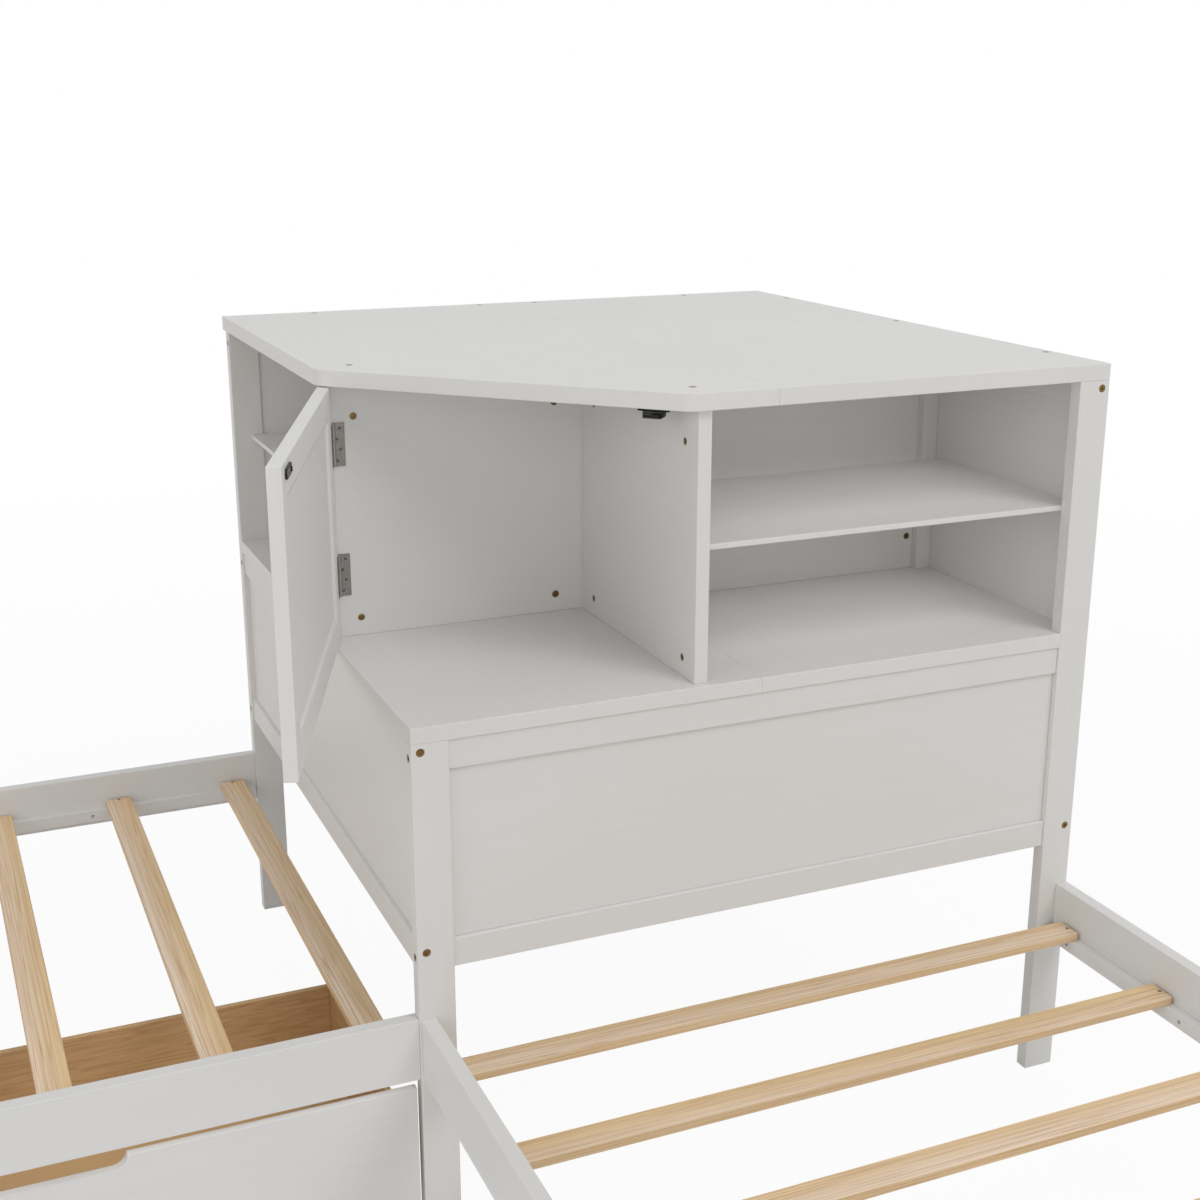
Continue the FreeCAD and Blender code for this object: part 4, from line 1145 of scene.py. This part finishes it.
make_bolts()
make_nuts()
make_slat_screws()
make_ledger_screws()
make_hinge_screws()
bead = set_in(bead_shape(), OPEN)
new_piece("door_panel_bead", bead, "door", PAINT["Z"], BEAD_SMOOTH_BELOW)
make_latch()
make_latch_screws()
for drawer in ("near", "far"):
    for line in ("front", "rear"):
        make_caster_wheels(drawer, line)


# Light, floor and camera: lamp sizes and distances from the subject are in metres, powers in watts

FLOOR_REACH = 60.0
SHADOW_NEAR = 2.0
SHADOW_FAR = 5.0
SHADOW_SHARE = 0.94
SKY_STRENGTH = 0.48
WHITE = (1, 1, 1, 1)
CHALK = (0.88, 0.88, 0.88, 1)

# The softboxes all face a point in the middle of the cabinet
SUBJECT = spot(500, 500, 700)
# Place from the subject, width and power
SOFTBOXES = {
    "front_left_softbox": ((-3.4, -8.4, 2.4), 6.0, 45),
    "left_softbox": ((-8.6, -3.0, 2.6), 6.0, 110),
    "overhead_softbox": ((-0.4, -0.8, 7.0), 3.0, 34),
    "front_right_softbox": ((2.4, -5.8, 6.4), 4.0, 176),
}
FULL_SPREAD = 180
STRIP_SPREAD = 100
NARROW_SPREAD = 60
RIGHT_BAY = (735, 215)
LEFT_BAY = (185, 735)
STRIP_GAP = 2.0
UPPER_STRIP_LEVEL = TOP_UNDER - STRIP_GAP
LOWER_STRIP_LEVEL = span("right_shelf")[0].z - STRIP_GAP
RIGHT_STRIP = (0.54, 0.30)
LEFT_STRIP = (0.28, 0.54)
DRAWER_MIDDLE = -490
DOWN = FACING["-Z"]
INTO_DRAWER = Vector((0, 1, -0.4))
# Place, facing, size, power and spread of each strip, which hangs just under a board
FILL_STRIPS = {
    "upper_bay_strip": ((*RIGHT_BAY, UPPER_STRIP_LEVEL), DOWN, RIGHT_STRIP, 0.11, STRIP_SPREAD),
    "lower_bay_strip": ((*RIGHT_BAY, LOWER_STRIP_LEVEL), DOWN, RIGHT_STRIP, 0.11, STRIP_SPREAD),
    "left_upper_bay_strip": ((*LEFT_BAY, UPPER_STRIP_LEVEL), DOWN, LEFT_STRIP, 0.03, STRIP_SPREAD),
    "left_lower_bay_strip": ((*LEFT_BAY, LOWER_STRIP_LEVEL), DOWN, LEFT_STRIP, 0.045, NARROW_SPREAD),
    "drawer_strip": ((DRAWER_MIDDLE, 30, 228), INTO_DRAWER, (0.90, 0.03), 0.23, STRIP_SPREAD),
    "drawer_edge_strip": ((DRAWER_MIDDLE, 9, 231.5), DOWN, (0.96, 0.01), 0.008, STRIP_SPREAD),
}

LENS = 50.0
FILM_WIDTH = 36.0
FAR_CLIP = 200.0
CAMERA_PLACE = (-556.8, -1905.4, 1493.8)
CAMERA_TIP = 16.532
CAMERA_TURN = 23.239


def seen_directly(tree):
    """One for rays from the camera and for mirror and glass rays, zero for the light on the object."""
    path = tree.nodes.new("ShaderNodeLightPath").outputs
    mirrored = maths(tree, "MAXIMUM", path["Is Glossy Ray"], path["Is Transmission Ray"])
    return maths(tree, "MAXIMUM", path["Is Camera Ray"], mirrored)


def make_floor():
    """A chalky floor that looks white, and keeps a little of the shadow near the object."""
    shape = bmesh.new()
    bmesh.ops.create_grid(shape, x_segments=1, y_segments=1, size=FLOOR_REACH)
    mesh = bpy.data.meshes.new("studio_floor")
    shape.to_mesh(mesh)
    shape.free()
    floor = bpy.data.objects.new("studio_floor", mesh)
    bpy.context.scene.collection.objects.link(floor)
    finish = bpy.data.materials.new("studio_white")
    finish.use_nodes = True
    tree = finish.node_tree
    tree.nodes.remove(tree.nodes["Principled BSDF"])
    chalk = add(tree, "ShaderNodeBsdfDiffuse", {"Color": CHALK})
    glow = add(tree, "ShaderNodeEmission", {"Color": WHITE, "Strength": 1.0})
    place = tree.nodes.new("ShaderNodeTexCoord").outputs["Object"]
    reach = vectors(tree, "DISTANCE", place, INNER_CORNER, "Value")
    far = stretched(tree, reach, SHADOW_NEAR, SHADOW_FAR, low=SHADOW_SHARE)
    share = maths(tree, "MULTIPLY", seen_directly(tree), far)
    blend = add(tree, "ShaderNodeMixShader", {0: share, 1: chalk.outputs[0], 2: glow.outputs[0]})
    tree.links.new(blend.outputs[0], tree.nodes["Material Output"].inputs["Surface"])
    mesh.materials.append(finish)


def make_world():
    world = bpy.data.worlds.new("studio_air")
    bpy.context.scene.world = world
    world.use_nodes = True
    tree = world.node_tree
    tree.nodes.clear()
    soft = add(tree, "ShaderNodeBackground", {"Color": WHITE, "Strength": SKY_STRENGTH})
    white = add(tree, "ShaderNodeBackground", {"Color": WHITE, "Strength": 1.0})
    values = {0: seen_directly(tree), 1: soft.outputs[0], 2: white.outputs[0]}
    blend = add(tree, "ShaderNodeMixShader", values)
    add(tree, "ShaderNodeOutputWorld", {"Surface": blend.outputs[0]})


def hang_lamp(name, shape, place, facing, size, power, spread):
    lamp = bpy.data.lights.new(name, "AREA")
    lamp.shape = shape
    lamp.size, lamp.size_y = size
    lamp.spread = math.radians(spread)
    lamp.energy = power
    holder = bpy.data.objects.new(name, lamp)
    holder.location = place
    holder.rotation_euler = facing.to_track_quat("-Z", "Y").to_euler()
    bpy.context.scene.collection.objects.link(holder)


def make_camera():
    """A 50 mm lens before the inner corner, turned to the right and tipped down."""
    camera = bpy.data.cameras.new("studio_camera")
    camera.lens = LENS
    camera.sensor_width = FILM_WIDTH
    camera.clip_end = FAR_CLIP
    holder = bpy.data.objects.new("studio_camera", camera)
    holder.location = spot(*CAMERA_PLACE)
    holder.rotation_euler = (math.radians(90 - CAMERA_TIP), 0, math.radians(-CAMERA_TURN))
    bpy.context.scene.collection.objects.link(holder)
    bpy.context.scene.camera = holder


make_floor()
make_world()
for name, (away, width, power) in SOFTBOXES.items():
    hang_lamp(name, "DISK", SUBJECT + Vector(away), -Vector(away), (width, width), power, FULL_SPREAD)
for name, (place, facing, size, power, spread) in FILL_STRIPS.items():
    hang_lamp(name, "RECTANGLE", spot(*place), facing, size, power, spread)
make_camera()
bpy.context.scene.view_settings.view_transform = "Standard"
